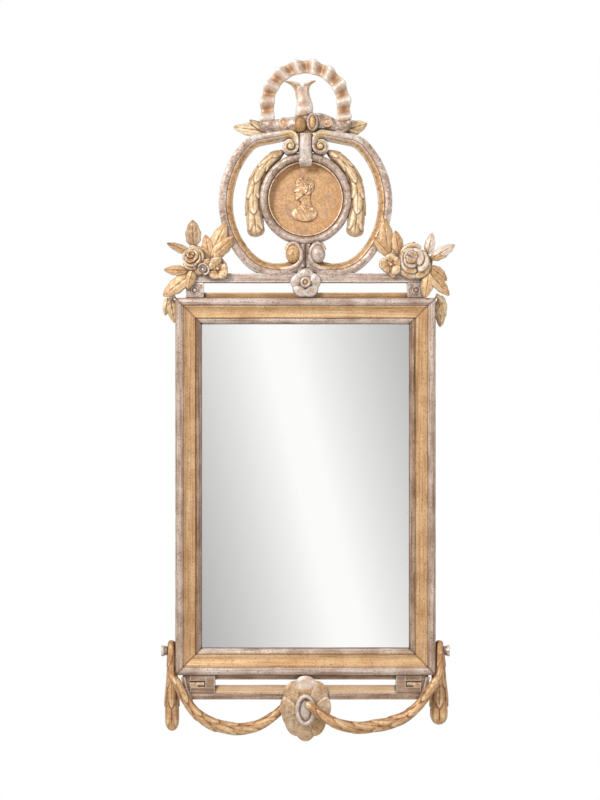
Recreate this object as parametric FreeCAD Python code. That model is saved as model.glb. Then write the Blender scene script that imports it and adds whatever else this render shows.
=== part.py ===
import FreeCAD
import Part
import math
import os

# Giltwood wall mirror: a mitred frame round a mirror plate, a pierced and carved crest above it and a
# carved apron with garlands below. The origin lies on the wall plane at the centre of the plate. X runs
# to the right as one faces the mirror, Z runs up and the front looks along -Y. Sizes are in millimetres,
# and a depth is a distance forward from the wall.

# Sight opening and the faces of the moulding round it
SIGHT_WIDTH = 354.0
SIGHT_HEIGHT = 553.0
SLIP_WIDTH = 10.5
COVE_WIDTH = 20.5
BORDER_WIDTH = 13.6

# Depths stacked from the wall to the crown of the border
BACKBOARD_THICKNESS = 8.0
BLOCK_DEPTH = 8.5
PLATE_THICKNESS = 3.5
SLIP_FLANGE = 6.0
LIP_THICKNESS = 7.0
COVE_RISE = 5.0
BORDER_STEP = 3.0
BORDER_CROWN = 3.0
COVE_HOLLOW = 1.6

# Rebate behind the moulding, and the slip set in it
REBATE_WIDTH = 8.0
BOARD_LEDGE = 6.0
SLIP_GROOVE = 1.2
SLIP_CROWN = 4.5
SLIP_EDGE = 3.0
FIT = 0.4
OVERRUN = 2.0

# Feathers let into the mitres
KEY_LEG = 34.0
KEY_THICKNESS = 5.0
KEY_SETBACK = 9.0

# Glue blocks that hold the plate, and the two lapped backboards with their nails
BLOCK_LENGTH = 42.0
BLOCK_WIDTH = 7.0
BLOCK_PLACE_SHARES = (-0.7, 0.0, 0.7)
BOARD_SPLIT = 62.0
BOARD_LAP = 12.0
BOARD_GAP = 0.6
NAIL_RADIUS = 0.9
NAIL_HEAD_RADIUS = 2.2
NAIL_HEAD_THICKNESS = 1.0
NAIL_LENGTH = 19.0
NAIL_PLACE_SHARES = (-0.82, -0.28, 0.28, 0.82)

# Hanging rings, each through a staple driven into the back of a stile
HANGER_RISE = 176.0
RING_MEAN_RADIUS = 8.4
RING_WIRE_RADIUS = 1.5
STAPLE_WIRE_RADIUS = 1.1
STAPLE_PLAY = 0.45
STAPLE_LEG = 15.0
WIRE_FLAT_COUNT = 12

# Batten and screws that stiffen the crest from behind
BRACE_WIDTH = 40.0
BRACE_THICKNESS = 12.0
BRACE_SEAT = 17.0
BRACE_OVERLAP = 16.0
SCREW_RADIUS = 2.0
SCREW_HEAD_RADIUS = 3.8
SCREW_HEAD_DEPTH = 2.6
SCREW_LENGTH = 26.0
SCREW_SPACING = 13.0

# Dowels that pin the crest, the bow and the apron
DOWEL_RADIUS = 4.0
DOWEL_BITE = 15.0

# Rails and blocks of the crest
CREST_DEPTH = 26.0
CREST_INSET = 18.0
CREST_BASE_HEIGHT = 9.4
CREST_BASE_DEPTH = 18.0
CREST_SLOT = 16.3
CREST_RAIL_HEIGHT = 16.2
CREST_BLOCK_WIDTH = 30.0
CREST_EDGE_CHAMFER = 1.6
BOSS_RADIUS = 6.0
BOSS_GROOVE = 1.8

# Scrolls of the crest: one large arc that bends in to a foot below and to a volute above
SCROLL_CLEARANCE = 23.6
SCROLL_BAND = 23.8
SCROLL_FACE = 12.8
SCROLL_BEVEL = 10.0
SCROLL_LAP = 6.5
FOOT_RADIUS = 80.0
SHOULDER_RADIUS = 45.0
BEND_ANGLE = 46.0
ARM_ANGLE = 8.0
VOLUTE_RADIUS = 14.5
VOLUTE_DROP = 29.0
VOLUTE_PROUD = 8.0
VOLUTE_BAND = 3.4
VOLUTE_STEP = 2.6
VOLUTE_SUNK = 3.5
VOLUTE_HALF_COUNT = 3
VOLUTE_EYE_RADIUS = 4.6
CURL_RADIUS = 17.4
CURL_GAP = 0.6
STEM_HEIGHT = 48.5
STEM_WIDTH = 22.0
LOBE_WIDTH = 21.0
LOBE_HEIGHT = 31.0
LOBE_ROUND = 4.0
LOBE_OUT_SHARE = 0.95

# Medallion between the scrolls
MEDALLION_RADIUS = 78.5
MEDALLION_BAND = 13.5
MEDALLION_DEPTH = 28.0
MEDALLION_ROUND = 4.0
BEAD_WIDTH = 4.2
BEAD_DROP = 3.0
PANEL_THICKNESS = 8.0
PANEL_LEDGE = 9.0
RELIEF_HEIGHT = 7.0
HEAD_HEIGHT = 41.0
BUST_HEIGHT = 34.0
BUST_WIDTH = 48.0
RELIEF_DROP_SHARE = 0.05
HAIR_RISE_SHARE = 0.3
SHOULDER_SHARE = 0.45
STRAP_WIDTH = 21.0
STRAP_THICKNESS = 6.0
STRAP_OVERLAP = 24.0

# Husk garlands that hang from the top of the medallion
GARLAND_RADIUS = 11.0
GARLAND_START_ANGLE = 33.0
GARLAND_END_ANGLE = 97.0
GARLAND_FALL = 46.0
GARLAND_SWELL = 5.5
GARLAND_SETBACK = 4.0
GARLAND_ARC_COUNT = 4
GARLAND_FALL_COUNT = 3
GARLAND_TOP_SHARE = 0.8
HUSK_NECK_SHARE = 0.72
SWAG_NECK_SHARE = 0.86
HUSK_LIP_SHARE = 0.16
HUSK_TIP_SHARE = 0.55
HUSK_LEAF_COUNT = 6
HUSK_HOLLOW_SHARE = 0.88

# Ribbon and laurel over the scrolls
ARCH_RADIUS = 77.2
ARCH_LEG = 50.0
RIBBON_WIDTH = 24.2
RIBBON_THICKNESS = 6.0
RIBBON_WAVE = 3.4
RIBBON_SCALLOP = 1.3
RIBBON_WAVE_COUNT = 11
RIBBON_FORWARD = 19.0
LAUREL_RADIUS = 15.0
LAUREL_HUSK_COUNT = 3
LAUREL_TAPER_SHARE = 0.25
LAUREL_NECK_SHARE = 0.82
KNOT_WIDTH = 30.0
KNOT_HEIGHT = 28.0
KNOT_DEPTH = 11.0
TAIL_HEIGHT = 58.0
TAIL_WIDTH = 31.0
TAIL_THICKNESS = 6.0
TAIL_SWAY = 6.0
TAIL_BEND_SHARE = 0.62
TIP_THICKNESS = 9.0
TIP_LENGTH = 43.0
TIP_WIDTH = 20.0
TIP_RISE_SHARE = 0.3

# Flower sprays on the ends of the crest rail
SPRAY_WIDTH = 72.0
SPRAY_HEIGHT = 60.0
LEAF_LENGTH = 50.0
LEAF_WIDTH = 24.0
LEAF_THICKNESS = 10.0
LEAF_EDGE = 4.0
LEAF_WIDEST_SHARE = 0.44
ROSE_LEFT_RADIUS = 20.0
ROSE_RIGHT_RADIUS = 30.0
FLOWER_RADIUS = 19.0
BUD_RADIUS = 10.5
FLOWER_HEIGHT = 17.0
PETAL_THICKNESS = 4.0
PETAL_SINK_SHARE = 0.55
HEART_FOOT_SHARE = 0.62
HEART_TOP_SHARE = 0.2
ROSETTE_RADIUS = 27.0
ROSETTE_HEIGHT = 15.0

# Leaf drops on the outer sides of the stiles, below the sprays
DROP_LEAF_LENGTH = 54.0
DROP_LEAF_WIDTH = 17.0
DROP_LEAF_BACK = 20.0
DROP_STEM = 12.0

# Rails and fretted blocks of the apron
APRON_DEPTH = 24.0
APRON_INSET = 12.0
APRON_END_WIDTH = 12.6
APRON_BASE_HEIGHT = 9.0
APRON_SLOT = 11.0
APRON_BEVEL = 10.0
APRON_BAR_HEIGHT = 12.0
FRET_WIDTH = 43.0
FRET_DEPTH = 26.0
FRET_BAND = 10.0
FRET_SIDE = 16.0
FRET_TONGUE = 14.0
FRET_GROOVE = 2.6
FRET_CUT = 3.0

# Patera at the middle of the apron
PATERA_WIDTH = 95.0
PATERA_HEIGHT = 112.0
PATERA_RIM = 7.0
PATERA_RISE = 11.0
PATERA_PETAL_COUNT = 8
PATERA_TAPER_SHARE = 0.16
PATERA_NOTCH_SHARE = 0.95
PATERA_TOP_SHARE = 0.62
EYE_WIDTH = 36.0
EYE_HEIGHT = 54.0
EYE_BAND = 7.5
EYE_RISE = 6.0

# Garlands of the apron, draped over a peg on each stile. The shares say how full a swag's outer and inner
# halves hang, where it comes forward, how soon the right one reaches the patera's front, and how thick
# swags and pendants are along their length
PEG_RISE = 40.0
PEG_DEPTH = 25.0
PEG_NECK_RADIUS = 5.0
PEG_TENON = 16.0
PEG_HEAD_RADIUS = 9.6
PEG_HEAD_LENGTH = 10.5
PEG_DISH = 2.0
PEG_COLLAR_SHARE = 0.78
STRAND_RADIUS = 6.6
SWAG_RADIUS = 11.0
SWAG_SAG = 57.0
SWAG_TUCK = 5.0
SWAG_TURN = 15.0
LOOP_STEP_COUNT = 6
SWAG_OUTER_HANG_SHARE = 3.2
SWAG_INNER_HANG_SHARE = 2
SWAG_RISE_SHARE = 0.45
SWAG_CROSSING_SHARE = 1.8
SWAG_THICKNESS_SHARES = (0.6, 0.6, 0.66, 0.72, 0.8, 0.9, 1, 1, 0.98, 0.92, 0.84, 0.72)
DROP_LEFT_RADIUS = 13.4
DROP_RIGHT_RADIUS = 16.6
DROP_LEFT_LENGTH = 131.0
DROP_RIGHT_LENGTH = 121.0
PENDANT_PLACE_SHARES = (0.0, 0.16, 0.33, 0.5, 0.68, 0.84, 0.96)
PENDANT_THICKNESS_SHARES = (0.62, 0.74, 0.84, 0.94, 1.0, 0.9)

# Places and levels that follow from the sizes above
MOULDING_WIDTH = COVE_WIDTH + BORDER_WIDTH
REBATE_WALL = MOULDING_WIDTH - REBATE_WIDTH
LEDGE_WALL = REBATE_WALL - BOARD_LEDGE
HALF_WIDTH = SIGHT_WIDTH / 2 + SLIP_WIDTH + MOULDING_WIDTH
HALF_HEIGHT = SIGHT_HEIGHT / 2 + SLIP_WIDTH + MOULDING_WIDTH
PLATE_BACK = BACKBOARD_THICKNESS + BLOCK_DEPTH
PLATE_FRONT = PLATE_BACK + PLATE_THICKNESS
REBATE_FLOOR = PLATE_FRONT + SLIP_FLANGE
LIP_FRONT = REBATE_FLOOR + LIP_THICKNESS
COVE_TOP = LIP_FRONT + COVE_RISE
BORDER_EDGE = COVE_TOP + BORDER_STEP
FRAME_DEPTH = BORDER_EDGE + BORDER_CROWN

CREST_BACK = BRACE_THICKNESS
CREST_FRONT = CREST_BACK + CREST_DEPTH
CREST_HALF = HALF_WIDTH - CREST_INSET
RAIL_FOOT = HALF_HEIGHT + CREST_BASE_HEIGHT + CREST_SLOT
RAIL_TOP = RAIL_FOOT + CREST_RAIL_HEIGHT

BEND_SINE = math.sin(math.radians(BEND_ANGLE))
BEND_COSINE = math.cos(math.radians(BEND_ANGLE))
ARM_SINE = math.sin(math.radians(ARM_ANGLE))
ARM_COSINE = math.cos(math.radians(ARM_ANGLE))
SCROLL_RADIUS = MEDALLION_RADIUS + GARLAND_RADIUS + GARLAND_RADIUS + SCROLL_CLEARANCE + SCROLL_BAND
FOOT_X =(SCROLL_RADIUS - FOOT_RADIUS) * BEND_SINE
FOOT_Z = RAIL_TOP - SCROLL_LAP + FOOT_RADIUS
SCROLL_Z = FOOT_Z + (SCROLL_RADIUS - FOOT_RADIUS) * BEND_COSINE
SHOULDER_X = (SCROLL_RADIUS - SHOULDER_RADIUS) * BEND_SINE
SHOULDER_Z = SCROLL_Z + (SCROLL_RADIUS - SHOULDER_RADIUS) * BEND_COSINE
ARM_START_X = SHOULDER_X + SHOULDER_RADIUS * ARM_SINE
ARM_START_Z = SHOULDER_Z + SHOULDER_RADIUS * ARM_COSINE
CURL_X = STRAP_WIDTH / 2 + CURL_GAP + CURL_RADIUS
CURL_Z = ARM_START_Z + (ARM_START_X - CURL_X) * ARM_SINE / ARM_COSINE - CURL_RADIUS / ARM_COSINE
VOLUTE_X = STRAP_WIDTH / 2 + CURL_GAP + VOLUTE_RADIUS
VOLUTE_Z = CURL_Z + CURL_RADIUS - VOLUTE_DROP

MEDALLION_Z = RAIL_TOP + STEM_HEIGHT + MEDALLION_RADIUS
MEDALLION_FRONT = CREST_BACK + MEDALLION_DEPTH
STRAP_FRONT = MEDALLION_FRONT + STRAP_THICKNESS
VOLUTE_FRONT = CREST_FRONT + VOLUTE_PROUD
PANEL_RADIUS = MEDALLION_RADIUS - MEDALLION_BAND - BEAD_WIDTH
GARLAND_BACK = CREST_BACK + GARLAND_SETBACK

RIBBON_INNER = ARCH_RADIUS - RIBBON_WIDTH
BOW_FOOT = ARM_START_Z + (ARM_START_X - ARCH_RADIUS) * ARM_SINE / ARM_COSINE
BOW_BACK = CREST_BACK + OVERRUN
SPRAY_FRONT = CREST_FRONT + LEAF_THICKNESS

APRON_BACK = BRACE_THICKNESS
APRON_FRONT = APRON_BACK + APRON_DEPTH
APRON_HALF = HALF_WIDTH - APRON_INSET
FRET_OUTER = APRON_HALF - APRON_END_WIDTH
FRET_INNER = FRET_OUTER - FRET_WIDTH
FRET_FOOT = -(HALF_HEIGHT + APRON_BASE_HEIGHT + APRON_SLOT + APRON_BEVEL)
APRON_FOOT = FRET_FOOT - APRON_BAR_HEIGHT
PATERA_Z = -(HALF_HEIGHT + PATERA_HEIGHT / 2)
PATERA_FRONT = APRON_FRONT + PATERA_RIM + PATERA_RISE
SWAG_DEPTH = APRON_FRONT + SWAG_RADIUS
PEG_Z = PEG_RISE - HALF_HEIGHT
STRAND_X = HALF_WIDTH + STRAND_RADIUS + FIT
STRAND_OFFSET = PEG_NECK_RADIUS + STRAND_RADIUS

HANGER_X = HALF_WIDTH - LEDGE_WALL / 2
HANGER_Y = RING_WIRE_RADIUS + STAPLE_PLAY
STAPLE_RADIUS = RING_WIRE_RADIUS + STAPLE_PLAY + STAPLE_WIRE_RADIUS

# Leaves and flower heads of each spray: place from the end of the crest rail as shares of the spray's
# width and height, turn from upright towards the left in degrees, and shares of the leaf's sizes
LEFT_LEAF_SHARES = (
    (0.19, 0.74, 3, 0.92, 1.10),
    (0.12, 0.57, 68, 0.88, 0.62),
    (0.55, 0.46, 9, 0.76, 0.80),
    (0.64, 0.62, -25, 1.05, 1.05),
    (0.62, 0.45, -48, 1.01, 1.00),
    (0.04, 0.06, 88, 0.80, 0.75),
    (0.10, -0.07, 128, 1.16, 1.10),
    (0.18, 0.10, 165, 0.70, 0.70),
)
RIGHT_LEAF_SHARES = (
    (-0.88, 0.53, 6, 1.24, 1.05),
    (-0.62, 0.51, 8, 0.84, 0.85),
    (-0.81, 0.48, 42, 0.87, 0.85),
    (0.06, 0.53, -11, 0.74, 0.72),
    (0.13, 0.39, -59, 0.95, 0.85),
    (0.12, 0.18, -131, 0.74, 0.85),
    (0.12, -0.10, 168, 0.68, 0.85),
    (0.16, -0.20, -135, 0.72, 0.80),
)
LEFT_GROUND_SHARES = ((-0.03, -0.26), (0.92, -0.20), (1.0, 0.24), (0.74, 0.62), (0.12, 0.82), (-0.02, 0.5))
RIGHT_GROUND_SHARES = (
    (0.18, -0.25), (0.2, 0.4), (-0.06, 0.66), (-0.84, 0.6), (-1.06, 0.22), (-0.98, -0.2),
)
LEFT_ROSE_SHARES = (0.17, 0.42)
LEFT_FLOWER_SHARES = (0.76, 0.11)
LEFT_BUD_SHARES = (0.42, 0.08)
RIGHT_ROSE_SHARES = (-0.27, 0.31)
RIGHT_FLOWER_SHARES = (-0.82, 0.225)

# Rows of petals of each flower head: how many, and shares of its radius for their size and reach, and
# how far they lean forward in degrees
ROSE_ROW_SHARES = ((6, 0.44, 0.58, 24), (5, 0.34, 0.36, 48))
FLOWER_ROW_SHARES = ((5, 0.46, 0.56, 16),)
BUD_ROW_SHARES = ((3, 0.6, 0.34, 52),)
ROSETTE_ROW_SHARES = ((6, 0.42, 0.6, 18),)

# Leaves of the two drops: place out from the stile and up from the frame's top as shares of the leaf
# length, turn from upright towards the left in degrees, and shares of the leaf's sizes
LEFT_DROP_SHARES = ((-0.25, 0.02, 171, 0.58, 0.66), (-0.16, -0.02, -170, 0.78, 0.95))
RIGHT_DROP_SHARES = ((0.21, 0.08, 177, 1.0, 1.0), (0.15, 0.04, -166, 0.62, 0.7))
TIP_LEFT_SHARES = ((79, 1.0, 1.0), (56, 0.7, 0.7))
TIP_RIGHT_SHARES = ((-71, 0.96, 1.0),)

# Ribbon tail seen from the front, as shares of its width and height
TAIL_LEFT_SHARES = ((-0.6, 0.0), (-0.44, 0.3), (-0.46, 0.6), (-0.64, 0.8), (-1.1, 0.9))
TAIL_FORK_SHARES = ((-0.62, 0.92), (-0.22, 0.82), (0.02, 0.96), (0.62, 1.0))
TAIL_RIGHT_SHARES = ((0.3, 0.92), (0.22, 0.75), (0.46, 0.38), (0.36, 0.0))

# Head in profile and bust below it, as shares of the head's height, the face to the left
PROFILE_SHARES = (
    (-0.30, 0.02), (-0.42, 0.06), (-0.40, 0.15), (-0.44, 0.20), (-0.41, 0.235), (-0.45, 0.275),
    (-0.42, 0.34), (-0.53, 0.40), (-0.40, 0.60), (-0.42, 0.67),
)
SKULL_SHARES = ((-0.30, 0.93), (0.05, 1.0), (0.42, 0.84), (0.44, 0.45), (0.26, 0.16), (0.0, 0.06))
NECK_SHARES = (-0.22, 0.26)
HAIR_SHARES = ((-0.36, 0.76), (0.05, 1.0), (0.42, 0.84), (0.44, 0.42), (0.2, 0.3), (0.02, 0.62))


def at(x, depth, z):
    """Point at a depth in front of the wall."""
    return FreeCAD.Vector(x, -depth, z)


def slab(x_low, x_high, back, front, z_low, z_high):
    """Block between two depths and two pairs of sides."""
    return Part.makeBox(x_high - x_low, front - back, z_high - z_low, at(x_low, front, z_low))


def closed_face(place, start, *steps):
    """Flat face in an outline. A step is a point to run straight to, or the middle and end of an arc."""
    edges = []
    here = start
    for step in steps + (start,):
        is_arc = isinstance(step[0], tuple)
        end = step[1] if is_arc else step
        if is_arc:
            edges.append(Part.Arc(place(*here), place(*step[0]), place(*end)).toShape())
        elif end != here:
            edges.append(Part.makeLine(place(*here), place(*end)))
        here = end
    return Part.Face(Part.Wire(edges))


def prism(back, front, start, *steps):
    """Outline in the plane of the mirror, carried forward from one depth to another."""
    sheet = closed_face(lambda x, z: at(x, back, z), start, *steps)
    return sheet.extrude(FreeCAD.Vector(0, back - front, 0))


def crosswise(x_low, x_high, start, *steps):
    """Outline of depth and height, carried from side to side."""
    sheet = closed_face(lambda depth, z: at(x_low, depth, z), start, *steps)
    return sheet.extrude(FreeCAD.Vector(x_high - x_low, 0, 0))


def disc(x, z, radius, back, front):
    """Round block whose axis points forward."""
    return Part.makeCylinder(radius, front - back, at(x, back, z), FreeCAD.Vector(0, -1, 0))


def oval(x, depth, z, width, height):
    """Upright oval outline facing forward."""
    centre = at(x, depth, z)
    curve = Part.Ellipse(centre + at(0, 0, height / 2), centre + at(width / 2, 0, 0), centre)
    return Part.Wire(curve.toShape())


def turned(x, z, start_angle, sweep, start, *steps):
    """Section of radius and depth, swept about a forward axis. Angles run from upright to the left."""
    sine = math.sin(math.radians(start_angle))
    cosine = math.cos(math.radians(start_angle))

    def place(radius, depth):
        return at(x - radius * sine, depth, z + radius * cosine)

    sheet = closed_face(place, start, *steps)
    return sheet.revolve(at(x, 0, z), FreeCAD.Vector(0, -1, 0), sweep)


def joined(pieces):
    """One solid from pieces that run into each other."""
    return pieces[0].fuse(list(pieces[1:])).removeSplitter()


def mirrored(shape):
    """The same shape on the other side of the middle."""
    return shape.mirror(FreeCAD.Vector(0, 0, 0), FreeCAD.Vector(1, 0, 0))


def group(pieces):
    """Separate solids of one kind, kept in one node."""
    return Part.makeCompound(pieces)


def leaf(x, back, z, turn, length, width, thickness, edge):
    """Pointed leaf, flat behind and ridged along its midrib. The turn runs from upright to the left."""
    widest = length * LEAF_WIDEST_SHARE
    blade = prism(
        0, thickness, (0, 0), ((-width / 2, widest), (0, length)), ((width / 2, widest), (0, 0)),
    )
    half = width / 2 + OVERRUN
    ridge = closed_face(
        lambda side, depth: at(side, depth, -OVERRUN),
        (-half, 0), (-half, edge), (0, thickness), (half, edge), (half, 0),
    )
    blade = blade.common(ridge.extrude(FreeCAD.Vector(0, 0, length + OVERRUN + OVERRUN)))
    blade.rotate(FreeCAD.Vector(0, 0, 0), FreeCAD.Vector(0, -1, 0), turn)
    blade.translate(at(x, back, z))
    return blade


def leaf_loft(stations, side):
    """Rod through stations of centre, direction and radius, its leaves ridged lengthwise from a first side."""
    outlines = []
    for centre, direction, radius in stations:
        along = FreeCAD.Vector(direction).normalize()
        side = (side - along * side.dot(along)).normalize()
        across = along.cross(side)
        points = []
        for step in range(HUSK_LEAF_COUNT + HUSK_LEAF_COUNT):
            angle = math.pi * step / HUSK_LEAF_COUNT
            reach = radius * (HUSK_HOLLOW_SHARE if step % 2 else 1)
            points.append(centre + side * (reach * math.cos(angle)) + across * (reach * math.sin(angle)))
        outlines.append(Part.makePolygon(points + points[:1]))
    return Part.makeLoft(outlines, True, True)


def husk_stations(points, radii, neck_share):
    """Stations along a chain of bell-shaped husks, each flaring out to a lip, with a blunt tip."""
    runs = [end - start for start, end in zip(points, points[1:])]
    stations = []
    before = runs[0]
    for start, run, radius in zip(points, runs, radii):
        stations.append((start, before + run, radius * neck_share))
        stations.append((start + run * (1 - HUSK_LIP_SHARE), run, radius))
        before = run
    neck = radii[-1] * neck_share
    stations.append((points[-1], before, neck))
    stations.append((points[-1] + before * HUSK_TIP_SHARE, before, neck * HUSK_TIP_SHARE))
    return stations


def husks(points, radii, neck_share):
    """Chain of husks through a row of points."""
    return leaf_loft(husk_stations(points, radii, neck_share), FreeCAD.Vector(0, -1, 0))


def frame_box():
    """Whole block that the frame and what it holds take up."""
    return slab(-HALF_WIDTH, HALF_WIDTH, 0, FRAME_DEPTH, -HALF_HEIGHT, HALF_HEIGHT)


def moulding_section():
    """Section of the frame as distances in from its outer edge and depths: border, cove and rebate."""
    hollow = (LIP_FRONT + COVE_TOP) / 2 - COVE_HOLLOW
    return (
        (0, 0), (0, BORDER_EDGE),
        ((BORDER_WIDTH / 2, FRAME_DEPTH), (BORDER_WIDTH, BORDER_EDGE)),
        (BORDER_WIDTH, COVE_TOP),
        ((BORDER_WIDTH + COVE_WIDTH / 2, hollow), (MOULDING_WIDTH, LIP_FRONT)),
        (MOULDING_WIDTH, REBATE_FLOOR), (REBATE_WALL, REBATE_FLOOR),
        (REBATE_WALL, BACKBOARD_THICKNESS), (LEDGE_WALL, BACKBOARD_THICKNESS), (LEDGE_WALL, 0),
    )


def slip_section():
    """Section of the sight slip: a flange under the lip of the frame and a round towards the plate."""
    groove = MOULDING_WIDTH + SLIP_GROOVE
    sight = MOULDING_WIDTH + SLIP_WIDTH
    return (
        (REBATE_WALL + FIT, PLATE_FRONT), (REBATE_WALL + FIT, REBATE_FLOOR), (groove, REBATE_FLOOR),
        (((groove + sight) / 2, REBATE_FLOOR + SLIP_CROWN), (sight, PLATE_FRONT + SLIP_EDGE)),
        (sight, PLATE_FRONT),
    )


def mitred(section, half_length, half_across, turn):
    """Length of a section along one side of the frame, mitred at both ends and turned to its side."""
    run = closed_face(lambda inward, depth: at(-half_length, depth, half_across - inward), *section)
    run = run.extrude(FreeCAD.Vector(half_length + half_length, 0, 0))
    reach = min(half_length, half_across)
    trim = prism(
        -OVERRUN, FRAME_DEPTH + OVERRUN,
        (-half_length, half_across), (half_length, half_across),
        (half_length - reach, half_across - reach), (-half_length + reach, half_across - reach),
    )
    member = run.common(trim)
    member.rotate(FreeCAD.Vector(0, 0, 0), FreeCAD.Vector(0, 1, 0), turn)
    return member


def four_sides(section):
    """The same section run round the frame, as top, right, bottom and left lengths."""
    return {
        "top": mitred(section, HALF_WIDTH, HALF_HEIGHT, 0),
        "right": mitred(section, HALF_HEIGHT, HALF_WIDTH, 90),
        "bottom": mitred(section, HALF_WIDTH, HALF_HEIGHT, 180),
        "left": mitred(section, HALF_HEIGHT, HALF_WIDTH, -90),
    }


def mitre_keys():
    """Three-cornered feathers glued into slots across the outer corners of the frame."""
    front = KEY_SETBACK + KEY_THICKNESS
    keys = []
    for x in (-HALF_WIDTH, HALF_WIDTH):
        for z in (-HALF_HEIGHT, HALF_HEIGHT):
            inward_x = x - math.copysign(KEY_LEG, x)
            inward_z = z - math.copysign(KEY_LEG, z)
            keys.append(prism(KEY_SETBACK, front, (x, z), (inward_x, z), (x, inward_z)))
    return group(keys)


def mirror_plate():
    """Silvered glass plate, lying against the backs of the sight slips."""
    half_x = HALF_WIDTH - REBATE_WALL - FIT
    half_z = HALF_HEIGHT - REBATE_WALL - FIT
    return slab(-half_x, half_x, PLATE_BACK, PLATE_FRONT, -half_z, half_z)


def glue_block(half_across):
    """Three-cornered block between the rebate's wall and the back of the plate, on the top side."""
    wall = half_across - REBATE_WALL
    return crosswise(
        -BLOCK_LENGTH / 2, BLOCK_LENGTH / 2,
        (PLATE_BACK, wall), (PLATE_BACK, wall - BLOCK_WIDTH), (BACKBOARD_THICKNESS + FIT, wall),
    )


def glue_blocks():
    """Blocks spaced along all four sides of the plate."""
    blocks = []
    for turn, half_across, half_length in (
        (0, HALF_HEIGHT, HALF_WIDTH), (90, HALF_WIDTH, HALF_HEIGHT),
        (180, HALF_HEIGHT, HALF_WIDTH), (-90, HALF_WIDTH, HALF_HEIGHT),
    ):
        for share in BLOCK_PLACE_SHARES:
            block = glue_block(half_across)
            block.translate(at((half_length - MOULDING_WIDTH) * share, 0, 0))
            block.rotate(FreeCAD.Vector(0, 0, 0), FreeCAD.Vector(0, 1, 0), turn)
            blocks.append(block)
    return group(blocks)


def backboards(nails):
    """Two boards let into the ledge at the back, half lapped where they meet."""
    half_x = HALF_WIDTH - LEDGE_WALL - FIT
    half_z = HALF_HEIGHT - LEDGE_WALL - FIT
    lap = BACKBOARD_THICKNESS / 2
    upper = joined([
        slab(-half_x, half_x, 0, BACKBOARD_THICKNESS, BOARD_SPLIT, half_z),
        slab(-half_x, half_x, 0, lap, BOARD_SPLIT - BOARD_LAP, BOARD_SPLIT),
    ])
    edge = BOARD_SPLIT - BOARD_LAP - BOARD_GAP
    lower = joined([
        slab(-half_x, half_x, 0, BACKBOARD_THICKNESS, -half_z, edge),
        slab(-half_x, half_x, lap, BACKBOARD_THICKNESS, edge, BOARD_SPLIT - BOARD_GAP),
    ])
    return upper.cut(nails), lower.cut(nails)


def nail(x, z):
    """Flat-headed nail driven flush with the back of a board."""
    head = disc(x, z, NAIL_HEAD_RADIUS, 0, NAIL_HEAD_THICKNESS)
    return head.fuse(disc(x, z, NAIL_RADIUS, 0, NAIL_LENGTH)).removeSplitter()


def backboard_nails():
    """Nails round the backboards, into the ledge of the frame."""
    row_x = HALF_WIDTH - LEDGE_WALL - BOARD_LEDGE / 2
    row_z = HALF_HEIGHT - LEDGE_WALL - BOARD_LEDGE / 2
    nails = []
    for share in NAIL_PLACE_SHARES:
        nails += [nail(row_x * share, row_z), nail(row_x * share, -row_z)]
        nails += [nail(row_x, row_z * share), nail(-row_x, row_z * share)]
    return group(nails)


def wire_section(place, radius):
    """Section of a forged wire, hammered to narrow flats."""
    turns = [2 * math.pi * step / WIRE_FLAT_COUNT for step in range(WIRE_FLAT_COUNT)]
    return closed_face(place, *[(radius * math.cos(turn), radius * math.sin(turn)) for turn in turns])


def staple(side):
    """Wire staple with both legs driven into the back of a stile and a round bow behind it."""
    x = side * HANGER_X
    reach = FreeCAD.Vector(0, -HANGER_Y - STAPLE_LEG, 0)
    pieces = []
    for height in (HANGER_RISE + STAPLE_RADIUS, HANGER_RISE - STAPLE_RADIUS):
        section = wire_section(lambda across, up: at(x + across, -HANGER_Y, height + up), STAPLE_WIRE_RADIUS)
        pieces.append(section.extrude(reach))
    pieces.append(section.revolve(at(x, -HANGER_Y, HANGER_RISE), FreeCAD.Vector(1, 0, 0), 180))
    return joined(pieces)


def hanging_ring(side):
    """Round iron ring that hangs in its staple."""
    x = side * HANGER_X
    section = wire_section(lambda out, depth: at(x, depth - HANGER_Y, HANGER_RISE + out), RING_WIRE_RADIUS)
    return section.revolve(at(x, -HANGER_Y, HANGER_RISE - RING_MEAN_RADIUS), FreeCAD.Vector(0, 1, 0), 360)


def brace_top():
    """Height of the crest batten's upper end, behind the foot of the medallion."""
    return MEDALLION_Z - MEDALLION_RADIUS + BRACE_OVERLAP


def crest_brace():
    """Batten housed in the back of the top rail and standing up behind the crest."""
    return slab(-BRACE_WIDTH / 2, BRACE_WIDTH / 2, 0, BRACE_THICKNESS, HALF_HEIGHT - BRACE_SEAT, brace_top())


def wood_screw(x, z):
    """Countersunk screw driven forward from the back of the batten."""
    forward = FreeCAD.Vector(0, -1, 0)
    head = Part.makeCone(SCREW_HEAD_RADIUS, SCREW_RADIUS, SCREW_HEAD_DEPTH, at(x, 0, z), forward)
    return head.fuse(disc(x, z, SCREW_RADIUS, 0, SCREW_LENGTH)).removeSplitter()


def brace_screws():
    """Two screws into the top rail and one into the stem of each scroll."""
    seat = HALF_HEIGHT - BRACE_SEAT / 2
    stem = RAIL_TOP + STEM_HEIGHT / 2
    sides = (-SCREW_SPACING / 2, SCREW_SPACING / 2)
    return group([wood_screw(x, z) for z in (seat, stem) for x in sides])


def upright_dowel(x, depth, z_low, z_high):
    """Dowel standing upright."""
    return Part.makeCylinder(DOWEL_RADIUS, z_high - z_low, at(x, depth, z_low))


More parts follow.
